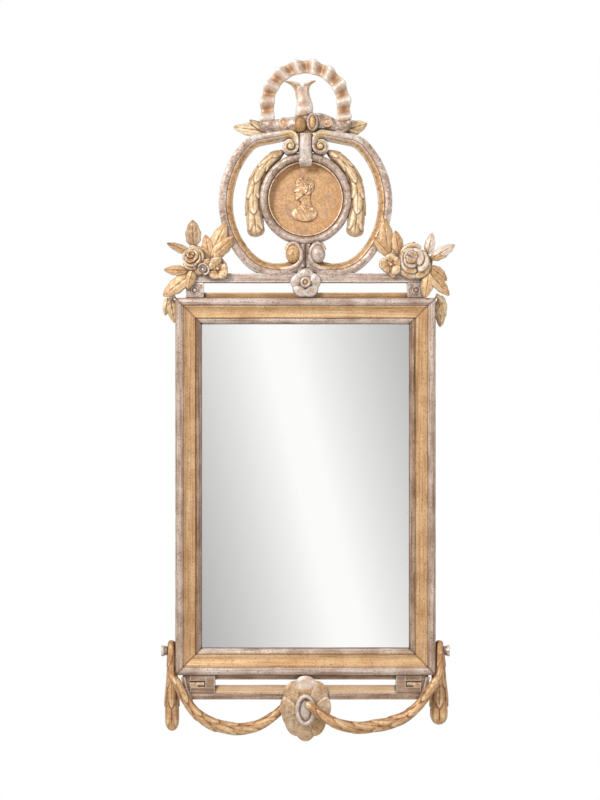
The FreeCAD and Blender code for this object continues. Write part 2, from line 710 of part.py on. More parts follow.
def dowels():
    """Dowels through the crest and fret blocks, up into the bow and back from the patera."""
    crest_x = CREST_HALF - CREST_BLOCK_WIDTH / 2
    crest_depth = CREST_BACK + CREST_DEPTH / 2
    fret_x = (FRET_OUTER + FRET_INNER) / 2
    apron_depth = APRON_BACK + APRON_DEPTH / 2
    bow_depth = (CREST_BACK + STRAP_FRONT) / 2
    pegs = []
    for side in (-1, 1):
        pegs.append(upright_dowel(
            side * crest_x, crest_depth, HALF_HEIGHT - DOWEL_BITE, RAIL_FOOT + CREST_RAIL_HEIGHT / 2,
        ))
        pegs.append(upright_dowel(
            side * fret_x, apron_depth, FRET_FOOT - APRON_BAR_HEIGHT / 2, DOWEL_BITE - HALF_HEIGHT,
        ))
    pegs.append(upright_dowel(0, bow_depth, BOW_FOOT - DOWEL_BITE, BOW_FOOT + LAUREL_RADIUS))
    patera_depth = APRON_FRONT + PATERA_RIM
    pegs.append(disc(0, FRET_FOOT - APRON_BAR_HEIGHT / 2, DOWEL_RADIUS, apron_depth, patera_depth))
    return group(pegs)


def crest_base_rail():
    """Low rail along the top of the frame, between the crest blocks."""
    half = CREST_HALF - CREST_BLOCK_WIDTH
    front = CREST_BACK + CREST_BASE_DEPTH
    return slab(-half, half, CREST_BACK, front, HALF_HEIGHT, HALF_HEIGHT + CREST_BASE_HEIGHT)


def crest_block(side):
    """Block that carries one end of the crest rail, with a small turned ring on its face."""
    x = side * (CREST_HALF - CREST_BLOCK_WIDTH / 2)
    middle = (HALF_HEIGHT + RAIL_FOOT) / 2
    block = slab(
        x - CREST_BLOCK_WIDTH / 2, x + CREST_BLOCK_WIDTH / 2, CREST_BACK, CREST_FRONT, HALF_HEIGHT, RAIL_FOOT,
    )
    ring = disc(x, middle, BOSS_RADIUS, CREST_FRONT - BOSS_GROOVE, CREST_FRONT + OVERRUN)
    ring = ring.cut(disc(x, middle, BOSS_RADIUS / 2, CREST_BACK, CREST_FRONT + OVERRUN))
    return block.cut(ring)


def crest_rail():
    """Upper rail of the crest, lying on both blocks, its front edges eased."""
    ease = CREST_EDGE_CHAMFER
    return crosswise(
        -CREST_HALF, CREST_HALF,
        (CREST_BACK, RAIL_FOOT), (CREST_FRONT - ease, RAIL_FOOT), (CREST_FRONT, RAIL_FOOT + ease),
        (CREST_FRONT, RAIL_TOP - ease), (CREST_FRONT - ease, RAIL_TOP), (CREST_BACK, RAIL_TOP),
    )


def band_section(outer):
    """Section of a scroll of an outer radius: a flat face outside and a bevel falling to the inside."""
    inner = outer - SCROLL_BAND
    return (
        (outer, CREST_BACK), (outer, CREST_FRONT), (outer - SCROLL_FACE, CREST_FRONT),
        (inner, CREST_FRONT - SCROLL_BEVEL), (inner, CREST_BACK),
    )


def scroll_arm():
    """Straight end of a scroll from its shoulder to its volute, upper edge rising to the middle."""
    run = (ARM_START_X - CURL_X) / ARM_COSINE
    sheet = closed_face(
        lambda outer, depth: at(
            -ARM_START_X + (outer - SHOULDER_RADIUS) * -ARM_SINE, depth,
            ARM_START_Z + (outer - SHOULDER_RADIUS) * ARM_COSINE,
        ),
        *band_section(SHOULDER_RADIUS),
    )
    return sheet.extrude(FreeCAD.Vector(run * ARM_COSINE, 0, run * ARM_SINE))


def volute():
    """Pieces of the spiral of a scroll: a sunk ground, an eye, and a band in half turns, each drawn in a step."""
    ground = disc(-VOLUTE_X, VOLUTE_Z, VOLUTE_RADIUS, CREST_BACK, VOLUTE_FRONT - VOLUTE_SUNK)
    eye = disc(-VOLUTE_X, VOLUTE_Z, VOLUTE_EYE_RADIUS, CREST_BACK, VOLUTE_FRONT + VOLUTE_PROUD / 2)
    pieces = [ground, eye]
    for half in range(VOLUTE_HALF_COUNT):
        outer = VOLUTE_RADIUS - half * VOLUTE_STEP
        inner = outer - VOLUTE_BAND
        middle = -VOLUTE_X - VOLUTE_STEP * (half % 2)
        pieces.append(turned(
            middle, VOLUTE_Z, 90 + 180 * half, 180,
            (inner, CREST_BACK), (inner, VOLUTE_FRONT), (outer, VOLUTE_FRONT), (outer, CREST_BACK),
        ))
    return pieces


def foot_lobe():
    """Rounded lobe that stands beside the stem at the foot of a scroll."""
    x = -STEM_WIDTH / 2 - LOBE_WIDTH / 2 * LOBE_OUT_SHARE
    z = RAIL_TOP + STEM_HEIGHT - LOBE_HEIGHT / 2
    crown_width = LOBE_WIDTH - LOBE_ROUND - LOBE_ROUND
    crown_height = LOBE_HEIGHT - LOBE_ROUND - LOBE_ROUND
    return Part.makeLoft([
        oval(x, CREST_BACK, z, LOBE_WIDTH, LOBE_HEIGHT),
        oval(x, VOLUTE_FRONT - LOBE_ROUND, z, LOBE_WIDTH, LOBE_HEIGHT),
        oval(x, VOLUTE_FRONT, z, crown_width, crown_height),
    ], True, True)


def crest_scroll():
    """Left scroll: large arc, foot and stem below, shoulder, arm, curl and volute above."""
    main_sweep = 180 - BEND_ANGLE - BEND_ANGLE
    foot_sweep = BEND_ANGLE + BEND_ANGLE
    stem_top = MEDALLION_Z - MEDALLION_RADIUS + OVERRUN
    solid = joined([
        turned(0, SCROLL_Z, BEND_ANGLE, main_sweep, *band_section(SCROLL_RADIUS)),
        turned(-SHOULDER_X, SHOULDER_Z, ARM_ANGLE, BEND_ANGLE - ARM_ANGLE, *band_section(SHOULDER_RADIUS)),
        turned(-FOOT_X, FOOT_Z, 180 - BEND_ANGLE, foot_sweep, *band_section(FOOT_RADIUS)),
        scroll_arm(),
        disc(-CURL_X, CURL_Z, CURL_RADIUS, CREST_BACK, CREST_FRONT),
        slab(-STEM_WIDTH / 2, 0, CREST_BACK, CREST_FRONT, FOOT_Z - FOOT_RADIUS + SCROLL_FACE, stem_top),
        foot_lobe(),
    ] + volute())
    past = slab(0, SCROLL_RADIUS, 0, STRAP_FRONT + STRAP_FRONT, RAIL_FOOT, BOW_FOOT)
    bed = disc(0, MEDALLION_Z, MEDALLION_RADIUS, 0, STRAP_FRONT + STRAP_FRONT)
    return solid.cut([past, bed])


def medallion_ring():
    """Turned ring with a rounded face, a bead inside it and a rebate behind for the panel."""
    inner = MEDALLION_RADIUS - MEDALLION_BAND
    shoulder = MEDALLION_FRONT - MEDALLION_ROUND
    bead = shoulder - BEAD_DROP
    panel_front = CREST_BACK + PANEL_THICKNESS
    ledge = PANEL_RADIUS + PANEL_LEDGE
    return turned(
        0, MEDALLION_Z, 0, 360,
        (MEDALLION_RADIUS, CREST_BACK), (MEDALLION_RADIUS, shoulder),
        ((MEDALLION_RADIUS - MEDALLION_BAND / 2, MEDALLION_FRONT), (inner, shoulder)),
        (inner, bead), (PANEL_RADIUS, bead - BEAD_DROP), (PANEL_RADIUS, panel_front),
        (ledge, panel_front), (ledge, CREST_BACK),
    )


def medallion_panel():
    """Flat round panel set into the back of the ring."""
    radius = PANEL_RADIUS + PANEL_LEDGE - FIT
    return disc(0, MEDALLION_Z, radius, CREST_BACK, CREST_BACK + PANEL_THICKNESS)


def portrait_relief():
    """Head in profile with cropped hair over a draped bust, a plain classical type in low relief."""
    back = CREST_BACK + PANEL_THICKNESS
    chin = MEDALLION_Z - HEAD_HEIGHT * RELIEF_DROP_SHARE
    front = back + RELIEF_HEIGHT

    def spot(share):
        return share[0] * HEAD_HEIGHT, chin + share[1] * HEAD_HEIGHT

    skull = [spot(share) for share in SKULL_SHARES]
    profile = [spot(share) for share in PROFILE_SHARES]
    head = prism(
        back, front, *profile, (skull[0], skull[1]), (skull[2], skull[3]), (skull[4], skull[5]),
    )
    hair = [spot(share) for share in HAIR_SHARES]
    locks = prism(
        back, front + RELIEF_HEIGHT * HAIR_RISE_SHARE,
        hair[0], (skull[0], hair[1]), (hair[2], hair[3]), (hair[4], hair[5]),
    )
    neck_left, neck_right = (share * HEAD_HEIGHT for share in NECK_SHARES)
    neck_front = front - RELIEF_HEIGHT * HAIR_RISE_SHARE
    throat = slab(neck_left, neck_right, back, neck_front, chin - BUST_HEIGHT / 2, chin)
    nape = slab(neck_left, neck_right, back, back + RELIEF_HEIGHT / 2, chin, chin + HEAD_HEIGHT / 4)
    foot = chin - BUST_HEIGHT
    shoulder = chin - BUST_HEIGHT * SHOULDER_SHARE
    bust = prism(
        back, front,
        (-BUST_WIDTH / 2, shoulder - BUST_HEIGHT / 4),
        ((0, chin - BUST_HEIGHT / 4), (BUST_WIDTH / 2, shoulder)),
        ((BUST_WIDTH / 4, foot), (-BUST_WIDTH / 2, shoulder - BUST_HEIGHT / 4)),
    )
    return joined([head, locks, throat, nape, bust])


def medallion_strap(ring):
    """Strap that ties the medallion up to the bow, lapping over the ring's face."""
    foot = MEDALLION_Z + MEDALLION_RADIUS - STRAP_OVERLAP
    neck = MEDALLION_Z + MEDALLION_RADIUS - MEDALLION_BAND
    strap = crosswise(
        -STRAP_WIDTH / 2, STRAP_WIDTH / 2,
        (CREST_BACK, neck), (MEDALLION_FRONT, neck), (MEDALLION_FRONT, foot), (STRAP_FRONT, foot),
        (STRAP_FRONT, BOW_FOOT), (CREST_BACK, BOW_FOOT),
    )
    inside = disc(0, MEDALLION_Z, MEDALLION_RADIUS - MEDALLION_BAND / 2, 0, MEDALLION_FRONT)
    return strap.cut([ring, inside])


def garland():
    """Left garland of husks that lies round the medallion, then hangs free and swells to its end."""
    path_radius = MEDALLION_RADIUS + GARLAND_RADIUS
    depth = GARLAND_BACK + GARLAND_RADIUS
    points = []
    radii = []
    for step in range(GARLAND_ARC_COUNT + 1):
        share = step / GARLAND_ARC_COUNT
        angle = math.radians(GARLAND_START_ANGLE + share * (GARLAND_END_ANGLE - GARLAND_START_ANGLE))
        points.append(at(-path_radius * math.sin(angle), depth, MEDALLION_Z + path_radius * math.cos(angle)))
        radii.append(GARLAND_RADIUS * (GARLAND_TOP_SHARE + (1 - GARLAND_TOP_SHARE) * share))
    turn = points[-1]
    for step in range(1, GARLAND_FALL_COUNT + 1):
        share = step / GARLAND_FALL_COUNT
        points.append(turn + at(GARLAND_SWELL * share, 0, -GARLAND_FALL * share))
        radii.append(GARLAND_RADIUS + GARLAND_SWELL * min(1, share + share))
    chain = husks(points, radii[1:], HUSK_NECK_SHARE)
    behind = slab(-SCROLL_RADIUS, 0, -SCROLL_BAND, GARLAND_BACK, RAIL_TOP, BOW_FOOT)
    return chain.cut([behind, disc(0, MEDALLION_Z, MEDALLION_RADIUS, 0, STRAP_FRONT)])


def tilted_petal(x, back, z, turn, radius, out, lean):
    """Round petal leaning outwards, its inner edge sunk towards the heart of the flower."""
    petal = Part.makeCylinder(radius, PETAL_THICKNESS, at(0, 0, 0), FreeCAD.Vector(0, -1, 0))
    petal.rotate(FreeCAD.Vector(0, 0, 0), FreeCAD.Vector(1, 0, 0), -lean)
    petal.translate(at(0, radius * math.sin(math.radians(lean)) * PETAL_SINK_SHARE, out))
    petal.rotate(FreeCAD.Vector(0, 0, 0), FreeCAD.Vector(0, -1, 0), turn)
    petal.translate(at(x, back, z))
    return petal


def bloom(x, back, z, radius, height, rows):
    """Flower head on a flat back: rows of leaning petals round a heart. A row is count, size, reach, lean."""
    foot = radius * HEART_FOOT_SHARE
    heart = Part.makeCone(foot, radius * HEART_TOP_SHARE, height, at(x, back, z), FreeCAD.Vector(0, -1, 0))
    petals = []
    for count, size_share, reach_share, lean in rows:
        for step in range(count):
            turn = (step + reach_share) * 360 / count
            petals.append(tilted_petal(x, back, z, turn, radius * size_share, radius * reach_share, lean))
    behind = disc(x, z, radius + radius, back - radius, back)
    head = heart
    for petal in petals:
        head = head.fuse(petal.cut(behind))
    return head.removeSplitter()


def crest_rosette():
    """Rosette over the foot of the crest rail, with a turned heart, trimmed where it meets the frame."""
    head = bloom(0, CREST_FRONT, RAIL_FOOT, ROSETTE_RADIUS, ROSETTE_HEIGHT, ROSETTE_ROW_SHARES)
    return head.cut(frame_box())


def ribbon_station(length):
    """Point and outward direction of the ribbon's middle line at a length along it from the left foot."""
    middle = ARCH_RADIUS - RIBBON_WIDTH / 2
    half_turn = math.pi * middle
    centre_z = BOW_FOOT + ARCH_LEG
    if length <= ARCH_LEG:
        return (-middle, BOW_FOOT + length), (-1, 0)
    if length >= ARCH_LEG + half_turn:
        return (middle, centre_z - (length - ARCH_LEG - half_turn)), (1, 0)
    angle = (length - ARCH_LEG) / middle
    out = (-math.cos(angle), math.sin(angle))
    return (out[0] * middle, centre_z + out[1] * middle), out


def ribbon_arch():
    """Crimped ribbon standing in an arch, its folds running across it and its outer edge scalloped."""
    total = ARCH_LEG + ARCH_LEG + math.pi * (ARCH_RADIUS - RIBBON_WIDTH / 2)
    stations = RIBBON_WAVE_COUNT + RIBBON_WAVE_COUNT
    sections = []
    for step in range(stations + 1):
        (x, z), out = ribbon_station(total * step / stations)
        sign = 0 if step in (0, stations) else 1 - 2 * (step % 2)
        depth = BOW_BACK + RIBBON_FORWARD + sign * RIBBON_WAVE
        inner = -RIBBON_WIDTH / 2
        outer = RIBBON_WIDTH / 2 + sign * RIBBON_SCALLOP
        back = depth - RIBBON_THICKNESS / 2
        front = depth + RIBBON_THICKNESS / 2
        corners = [(inner, back), (outer, back), (outer, front), (inner, front)]
        ring = [at(x + out[0] * reach, level, z + out[1] * reach) for reach, level in corners]
        sections.append(Part.makePolygon(ring + ring[:1]))
    return Part.makeLoft(sections, True, True)


def laurel_band():
    """Bundle of laurel laid across the feet of the ribbon, its leaves running out from the knot."""
    z = BOW_FOOT + LAUREL_RADIUS
    depth = BOW_BACK + LAUREL_RADIUS
    step = RIBBON_INNER / (LAUREL_HUSK_COUNT + HUSK_LIP_SHARE)
    pieces = []
    for side in (-1, 1):
        for count in range(LAUREL_HUSK_COUNT):
            start = at(side * step * count, depth, z)
            taper = 1 - LAUREL_TAPER_SHARE * count / LAUREL_HUSK_COUNT
            pieces.append(Part.makeCone(
                LAUREL_RADIUS * LAUREL_NECK_SHARE * taper, LAUREL_RADIUS * taper, step * (1 + HUSK_LIP_SHARE),
                start, FreeCAD.Vector(side, 0, 0),
            ))
    return joined(pieces)


def ribbon_knot():
    """Two lobes of the ribbon's knot, lying on the middle of the laurel."""
    back = BOW_BACK + LAUREL_RADIUS
    front = back + LAUREL_RADIUS + KNOT_DEPTH
    z = BOW_FOOT + KNOT_HEIGHT / 2
    left = prism(
        back, front, (-KNOT_WIDTH / 2, z), ((-KNOT_WIDTH / 4, z + KNOT_HEIGHT / 2), (0, z)),
        ((-KNOT_WIDTH / 4, z - KNOT_HEIGHT / 2), (-KNOT_WIDTH / 2, z)),
    )
    roof = crosswise(
        -KNOT_WIDTH, KNOT_WIDTH, (back, z - KNOT_HEIGHT / 2), (front - KNOT_DEPTH, z - KNOT_HEIGHT / 2),
        ((front, z), (front - KNOT_DEPTH, z + KNOT_HEIGHT / 2)), (back, z + KNOT_HEIGHT / 2),
    )
    quarter_x = KNOT_WIDTH / 4
    quarter_z = KNOT_HEIGHT / 4
    bridge = slab(-quarter_x, quarter_x, back, front, z - quarter_z, z + quarter_z)
    return joined([left, mirrored(left), bridge]).common(roof)


def ribbon_tail():
    """Forked end of the ribbon rising from the knot, swaying forward and back."""
    foot = BOW_FOOT + LAUREL_RADIUS + LAUREL_RADIUS * LAUREL_NECK_SHARE - OVERRUN

    def spot(share):
        return share[0] * TAIL_WIDTH, foot + share[1] * TAIL_HEIGHT

    left = [spot(share) for share in TAIL_LEFT_SHARES]
    fork = [spot(share) for share in TAIL_FORK_SHARES]
    right = [spot(share) for share in TAIL_RIGHT_SHARES]
    depth = BOW_BACK + LAUREL_RADIUS
    blade = prism(
        0, FRAME_DEPTH + FRAME_DEPTH,
        left[0], (left[1], left[2]), (left[3], left[4]), (fork[0], fork[1]), (fork[2], fork[3]),
        (right[0], right[1]), (right[2], right[3]),
    )
    bend = foot + TAIL_HEIGHT * TAIL_BEND_SHARE
    low = foot - OVERRUN
    high = foot + TAIL_HEIGHT + OVERRUN
    sway = depth + TAIL_SWAY
    lean = depth - TAIL_SWAY / 2
    thick = TAIL_THICKNESS
    sheet = crosswise(
        -ARCH_RADIUS, ARCH_RADIUS,
        (depth, low), ((sway, (low + bend) / 2), (depth, bend)), ((lean, (bend + high) / 2), (depth, high)),
        (depth + thick, high), ((lean + thick, (bend + high) / 2), (depth + thick, bend)),
        ((sway + thick, (low + bend) / 2), (depth + thick, low)),
    )
    return blade.common(sheet)


def ribbon_tip(side, shares):
    """Laurel leaves that run out from behind one foot of the ribbon."""
    x = side * (ARCH_RADIUS - RIBBON_WIDTH / 2)
    z = BOW_FOOT + TIP_WIDTH * TIP_RISE_SHARE
    leaves = [
        leaf(x, BOW_BACK, z, turn, TIP_LENGTH * length, TIP_WIDTH * width, TIP_THICKNESS, LEAF_EDGE)
        for turn, length, width in shares
    ]
    quarter = TIP_WIDTH / 4
    root = slab(x - quarter, x + quarter, BOW_BACK, BOW_BACK + TIP_THICKNESS, BOW_FOOT, z + quarter)
    return joined([root] + leaves)


def spray_place(side, shares):
    """Place in a spray, from the end of the crest rail."""
    return side * CREST_HALF + shares[0] * SPRAY_WIDTH, RAIL_TOP + shares[1] * SPRAY_HEIGHT


def spray_foliage(side, ground_shares, leaf_shares):
    """Leaves of a spray with the carved ground that carries them, flat against the crest rail."""
    ground = prism(
        CREST_FRONT, SPRAY_FRONT, *[spray_place(side, shares) for shares in ground_shares],
    )
    leaves = []
    for share_x, share_z, turn, length, width in leaf_shares:
        x, z = spray_place(side, (share_x, share_z))
        leaves.append(leaf(
            x, CREST_FRONT, z, turn,
            LEAF_LENGTH * length, LEAF_WIDTH * width, LEAF_THICKNESS, LEAF_EDGE,
        ))
    return joined([ground] + leaves)


def side_drop(side, shares):
    """Small drop of leaves on the outer side of a stile, with the stem that joins it to the wood."""
    front = DROP_LEAF_BACK + LEAF_THICKNESS
    edge = side * HALF_WIDTH
    end = side * (HALF_WIDTH + DROP_STEM)
    low = HALF_HEIGHT - DROP_STEM
    pieces = [slab(min(edge, end), max(edge, end), DROP_LEAF_BACK, front, low, HALF_HEIGHT + DROP_STEM / 2)]
    for share_x, share_z, turn, length, width in shares:
        x = edge + share_x * DROP_LEAF_LENGTH
        z = HALF_HEIGHT + share_z * DROP_LEAF_LENGTH
        pieces.append(leaf(
            x, DROP_LEAF_BACK, z, turn,
            DROP_LEAF_LENGTH * length, DROP_LEAF_WIDTH * width, LEAF_THICKNESS, LEAF_EDGE,
        ))
    return joined(pieces).cut(frame_box())


def apron_base_rail():
    """Low rail along the underside of the frame, between the fret blocks."""
    return slab(
        -FRET_INNER, FRET_INNER, APRON_BACK, APRON_BACK + CREST_BASE_DEPTH,
        -(HALF_HEIGHT + APRON_BASE_HEIGHT), -HALF_HEIGHT,
    )


def apron_rail():
    """Lower rail of the apron with upturned ends, bevelled above between the fret blocks."""
    bar = slab(-APRON_HALF, APRON_HALF, APRON_BACK, APRON_FRONT, APRON_FOOT, FRET_FOOT)
    bevel = crosswise(
        -FRET_INNER, FRET_INNER,
        (APRON_BACK, FRET_FOOT), (APRON_FRONT, FRET_FOOT),
        (APRON_FRONT - APRON_BEVEL, FRET_FOOT + APRON_BEVEL), (APRON_BACK, FRET_FOOT + APRON_BEVEL),
    )
    ends = [
        slab(low, low + APRON_END_WIDTH, APRON_BACK, APRON_FRONT, APRON_FOOT, -HALF_HEIGHT)
        for low in (-APRON_HALF, FRET_OUTER)
    ]
    return joined([bar, bevel] + ends)


def fret_block():
    """Left block of the apron, its face cut by a groove that bends twice, so that a squared hook stands out."""
    low_x = -FRET_OUTER
    high_x = -FRET_INNER
    front = APRON_BACK + FRET_DEPTH
    cut = front - FRET_CUT
    past = front + OVERRUN
    bend = high_x - FRET_SIDE
    top = -HALF_HEIGHT - FRET_BAND
    foot = FRET_FOOT + FRET_BAND
    key = [
        slab(low_x - OVERRUN, bend, cut, past, top - FRET_GROOVE, top),
        slab(bend - FRET_GROOVE, bend, cut, past, foot, top),
        slab(bend - FRET_TONGUE, bend, cut, past, foot, foot + FRET_GROOVE),
    ]
    block = slab(low_x, high_x, APRON_BACK, front, FRET_FOOT, -HALF_HEIGHT)
    return block.cut(key)


def petal_ring(depth, scale_share, notch_share):
    """Closed outline of the patera at a depth: rounded petals that meet in notches and narrow downwards."""
    def place(step):
        angle = math.pi * step / PATERA_PETAL_COUNT
        reach = scale_share * (notch_share if step % 2 else 1)
        taper = 1 - PATERA_TAPER_SHARE * (1 - math.cos(angle)) / 2
        x = -PATERA_WIDTH / 2 * reach * taper * math.sin(angle)
        return at(x, depth, PATERA_Z + PATERA_HEIGHT / 2 * reach * math.cos(angle))

    tips = range(0, PATERA_PETAL_COUNT + PATERA_PETAL_COUNT, 2)
    return Part.Wire([Part.Arc(place(tip - 1), place(tip), place(tip + 1)).toShape() for tip in tips])


def patera():
    """Oval of rounded petals, flat at the back and again at its middle."""
    rim = APRON_FRONT + PATERA_RIM
    return Part.makeLoft([
        petal_ring(APRON_FRONT, 1, PATERA_NOTCH_SHARE),
        petal_ring(rim, 1, PATERA_NOTCH_SHARE),
        petal_ring(PATERA_FRONT, PATERA_TOP_SHARE, PATERA_NOTCH_SHARE),
    ], True, True)


def patera_eye():
    """Raised oval band at the heart of the patera."""
    top = PATERA_FRONT + EYE_RISE
    slope = EYE_BAND / 4
    hole = EYE_BAND + EYE_BAND
    outside = Part.makeLoft([
        oval(0, PATERA_FRONT, PATERA_Z, EYE_WIDTH, EYE_HEIGHT),
        oval(0, top, PATERA_Z, EYE_WIDTH - slope - slope, EYE_HEIGHT - slope - slope),
    ], True, True)
    inside = Part.makeLoft([
        oval(0, PATERA_FRONT, PATERA_Z, EYE_WIDTH - hole, EYE_HEIGHT - hole),
        oval(0, top, PATERA_Z, EYE_WIDTH - hole + slope, EYE_HEIGHT - hole + slope),
    ], True, True)
    return outside.cut(inside)


def side_peg(side):
    """Turned peg: a tenon in the stile, a neck for the garland and a head with a dished end."""
    shoulder = HALF_WIDTH + FIT + STRAND_RADIUS + STRAND_RADIUS + FIT
    end = shoulder + PEG_HEAD_LENGTH
    profile = closed_face(
        lambda x, radius: at(side * x, PEG_DEPTH, PEG_Z + radius),
        (HALF_WIDTH - PEG_TENON, 0), (HALF_WIDTH - PEG_TENON, PEG_NECK_RADIUS), (shoulder, PEG_NECK_RADIUS),
        (shoulder, PEG_HEAD_RADIUS * PEG_COLLAR_SHARE), (end, PEG_HEAD_RADIUS),
        (end, PEG_HEAD_RADIUS - PEG_DISH), (end - PEG_DISH, 0),
    )
    return profile.revolve(at(0, PEG_DEPTH, PEG_Z), FreeCAD.Vector(1, 0, 0), 360)


def peg_stations(side):
    """Stations of the garland where it turns over the neck of its peg, from behind to the front."""
    stations = []
    for step in range(LOOP_STEP_COUNT):
        angle = math.pi * step / LOOP_STEP_COUNT
        out = -math.cos(angle) * STRAND_OFFSET
        up = math.sin(angle) * STRAND_OFFSET
        stations.append((at(side * STRAND_X, PEG_DEPTH + out, PEG_Z + up), at(0, up, -out), STRAND_RADIUS))
    return stations


def swag_points(side, end_x, end_z, end_depth, crossing):
    """Points of a swag from its peg, under the frame, along its sag and up to the patera."""
    front = PEG_DEPTH + STRAND_OFFSET
    start_x = HALF_WIDTH - SWAG_TUCK
    start_z = -(HALF_HEIGHT + SWAG_TURN)
    points = [
        at(side * STRAND_X, front, PEG_Z),
        at(side * STRAND_X, front, (PEG_Z - HALF_HEIGHT) / 2),
        at(side * STRAND_X, front, -HALF_HEIGHT),
    ]
    count = len(SWAG_THICKNESS_SHARES) - len(points)
    for step in range(count + 1):
        share = step / count
        off_middle = abs(share + share - 1)
        sag = 1 - off_middle ** (SWAG_OUTER_HANG_SHARE if step + step < count else SWAG_INNER_HANG_SHARE)
        rise = max(0, share - SWAG_RISE_SHARE) / (1 - SWAG_RISE_SHARE)
        depth = SWAG_DEPTH + (end_depth - SWAG_DEPTH) * (min(1, rise * crossing))
        x = start_x + (end_x - start_x) * share
        z = start_z + (end_z - start_z) * share - SWAG_SAG * sag
        points.append(at(side * x, depth, z))
    return points


def swag_chain(side, end_x, end_z, end_depth, crossing):
    """Swag of husks with the turn over its peg."""
    points = swag_points(side, end_x, end_z, end_depth, crossing)
    radii = [SWAG_RADIUS * share for share in SWAG_THICKNESS_SHARES]
    stations = peg_stations(side) + husk_stations(points, radii, SWAG_NECK_SHARE)
    return leaf_loft(stations, FreeCAD.Vector(1, 0, 0))


def side_pendant(side, radius, length):
    """Free end of a garland that hangs from behind its peg, swelling downwards."""
    depth = PEG_DEPTH - STRAND_OFFSET
    points = [at(side * STRAND_X, depth, PEG_Z - length * share) for share in PENDANT_PLACE_SHARES]
    radii = [radius * share for share in PENDANT_THICKNESS_SHARES]
    chain = husks(points, radii, SWAG_NECK_SHARE)
    wall = slab(
        -HALF_WIDTH - HALF_WIDTH, HALF_WIDTH + HALF_WIDTH, -FRAME_DEPTH, FIT,
        PEG_Z - length - length, HALF_HEIGHT,
    )
    return chain.cut([wall, frame_box()])


def build_frame(nodes):
    """Frame, slips, plate, back and hangers."""
    keys = mitre_keys()
    nails = backboard_nails()
    screws = brace_screws()
    pins = dowels()
    brace = crest_brace()
    seat = HALF_HEIGHT - BRACE_SEAT
    half = BRACE_WIDTH / 2 + FIT
    housing = slab(-half, half, 0, BRACE_THICKNESS, seat, HALF_HEIGHT)
    staples = {"left": staple(-1), "right": staple(1)}
    pegs = {"left": side_peg(-1), "right": side_peg(1)}
    sides = four_sides(moulding_section())
    slips = four_sides(slip_section())
    nodes["frame_rail_top"] = sides["top"].cut([housing, keys, nails, screws, pins])
    nodes["frame_rail_bottom"] = sides["bottom"].cut([keys, nails, pins])
    for name in ("left", "right"):
        nodes["frame_stile_" + name] = sides[name].cut([keys, nails, staples[name], pegs[name]])
        nodes["peg_" + name] = pegs[name]
    for name, slip in slips.items():
        nodes["sight_slip_" + name] = slip
    nodes["hanger_staples"] = group(list(staples.values()))
    nodes["mitre_keys"] = keys
    nodes["mirror_plate"] = mirror_plate()
    nodes["glue_blocks"] = glue_blocks()
    nodes["backboard_upper"], nodes["backboard_lower"] = backboards(nails)
    nodes["backboard_nails"] = nails
    nodes["hanger_ring_left"] = hanging_ring(-1)
    nodes["hanger_ring_right"] = hanging_ring(1)
    nodes["crest_brace"] = brace.cut(screws)
    nodes["brace_screws"] = screws
    nodes["dowels"] = pins


def build_crest(nodes):
    """Rails, scrolls, medallion, ribbon and sprays above the frame."""
    pins = nodes["dowels"]
    screws = nodes["brace_screws"]
    scroll = crest_scroll()
    scrolls = [scroll, mirrored(scroll)]
    ring = medallion_ring()
    left_garland = garland()
    band = laurel_band().cut(scrolls + [pins])
    knot = ribbon_knot().cut([band, pins] + scrolls)
    nodes["crest_base_rail"] = crest_base_rail()
    nodes["crest_block_left"] = crest_block(-1).cut(pins)
    nodes["crest_block_right"] = crest_block(1).cut(pins)
    nodes["crest_rail"] = crest_rail().cut(scrolls + [pins])
    nodes["crest_scroll_left"] = scrolls[0].cut(screws)
    nodes["crest_scroll_right"] = scrolls[1].cut(screws)
    nodes["crest_rosette"] = crest_rosette()
    nodes["medallion_ring"] = ring
    nodes["medallion_panel"] = medallion_panel()
    nodes["portrait_relief"] = portrait_relief()
    nodes["medallion_strap"] = medallion_strap(ring).cut(pins)
    nodes["garland_left"] = left_garland
    nodes["garland_right"] = mirrored(left_garland)
    nodes["ribbon_arch"] = ribbon_arch().cut(scrolls + [band])
    nodes["laurel_band"] = band
    nodes["ribbon_knot"] = knot
    nodes["ribbon_tail"] = ribbon_tail().cut([band, knot])
    tips = {"left": ribbon_tip(-1, TIP_LEFT_SHARES), "right": ribbon_tip(1, TIP_RIGHT_SHARES)}
    for name, tip in tips.items():
        nodes["laurel_tip_" + name] = tip.cut(scrolls + [nodes["ribbon_arch"]])
    nodes["spray_foliage_left"] = spray_foliage(-1, LEFT_GROUND_SHARES, LEFT_LEAF_SHARES)
    nodes["spray_foliage_right"] = spray_foliage(1, RIGHT_GROUND_SHARES, RIGHT_LEAF_SHARES)
    heads = (
        ("rose_left", -1, LEFT_ROSE_SHARES, ROSE_LEFT_RADIUS, ROSE_ROW_SHARES),
        ("flower_left", -1, LEFT_FLOWER_SHARES, FLOWER_RADIUS, FLOWER_ROW_SHARES),
        ("bud_left", -1, LEFT_BUD_SHARES, BUD_RADIUS, BUD_ROW_SHARES),
        ("rose_right", 1, RIGHT_ROSE_SHARES, ROSE_RIGHT_RADIUS, ROSE_ROW_SHARES),
        ("flower_right", 1, RIGHT_FLOWER_SHARES, FLOWER_RADIUS, FLOWER_ROW_SHARES),
    )
    placed = []
    for name, side, shares, radius, rows in heads:
        x, z = spray_place(side, shares)
        head = bloom(x, SPRAY_FRONT, z, radius, FLOWER_HEIGHT, rows)
        nodes[name] = head.cut(placed) if placed else head
        placed.append(head)
    nodes["side_drop_left"] = side_drop(-1, LEFT_DROP_SHARES)
    nodes["side_drop_right"] = side_drop(1, RIGHT_DROP_SHARES)


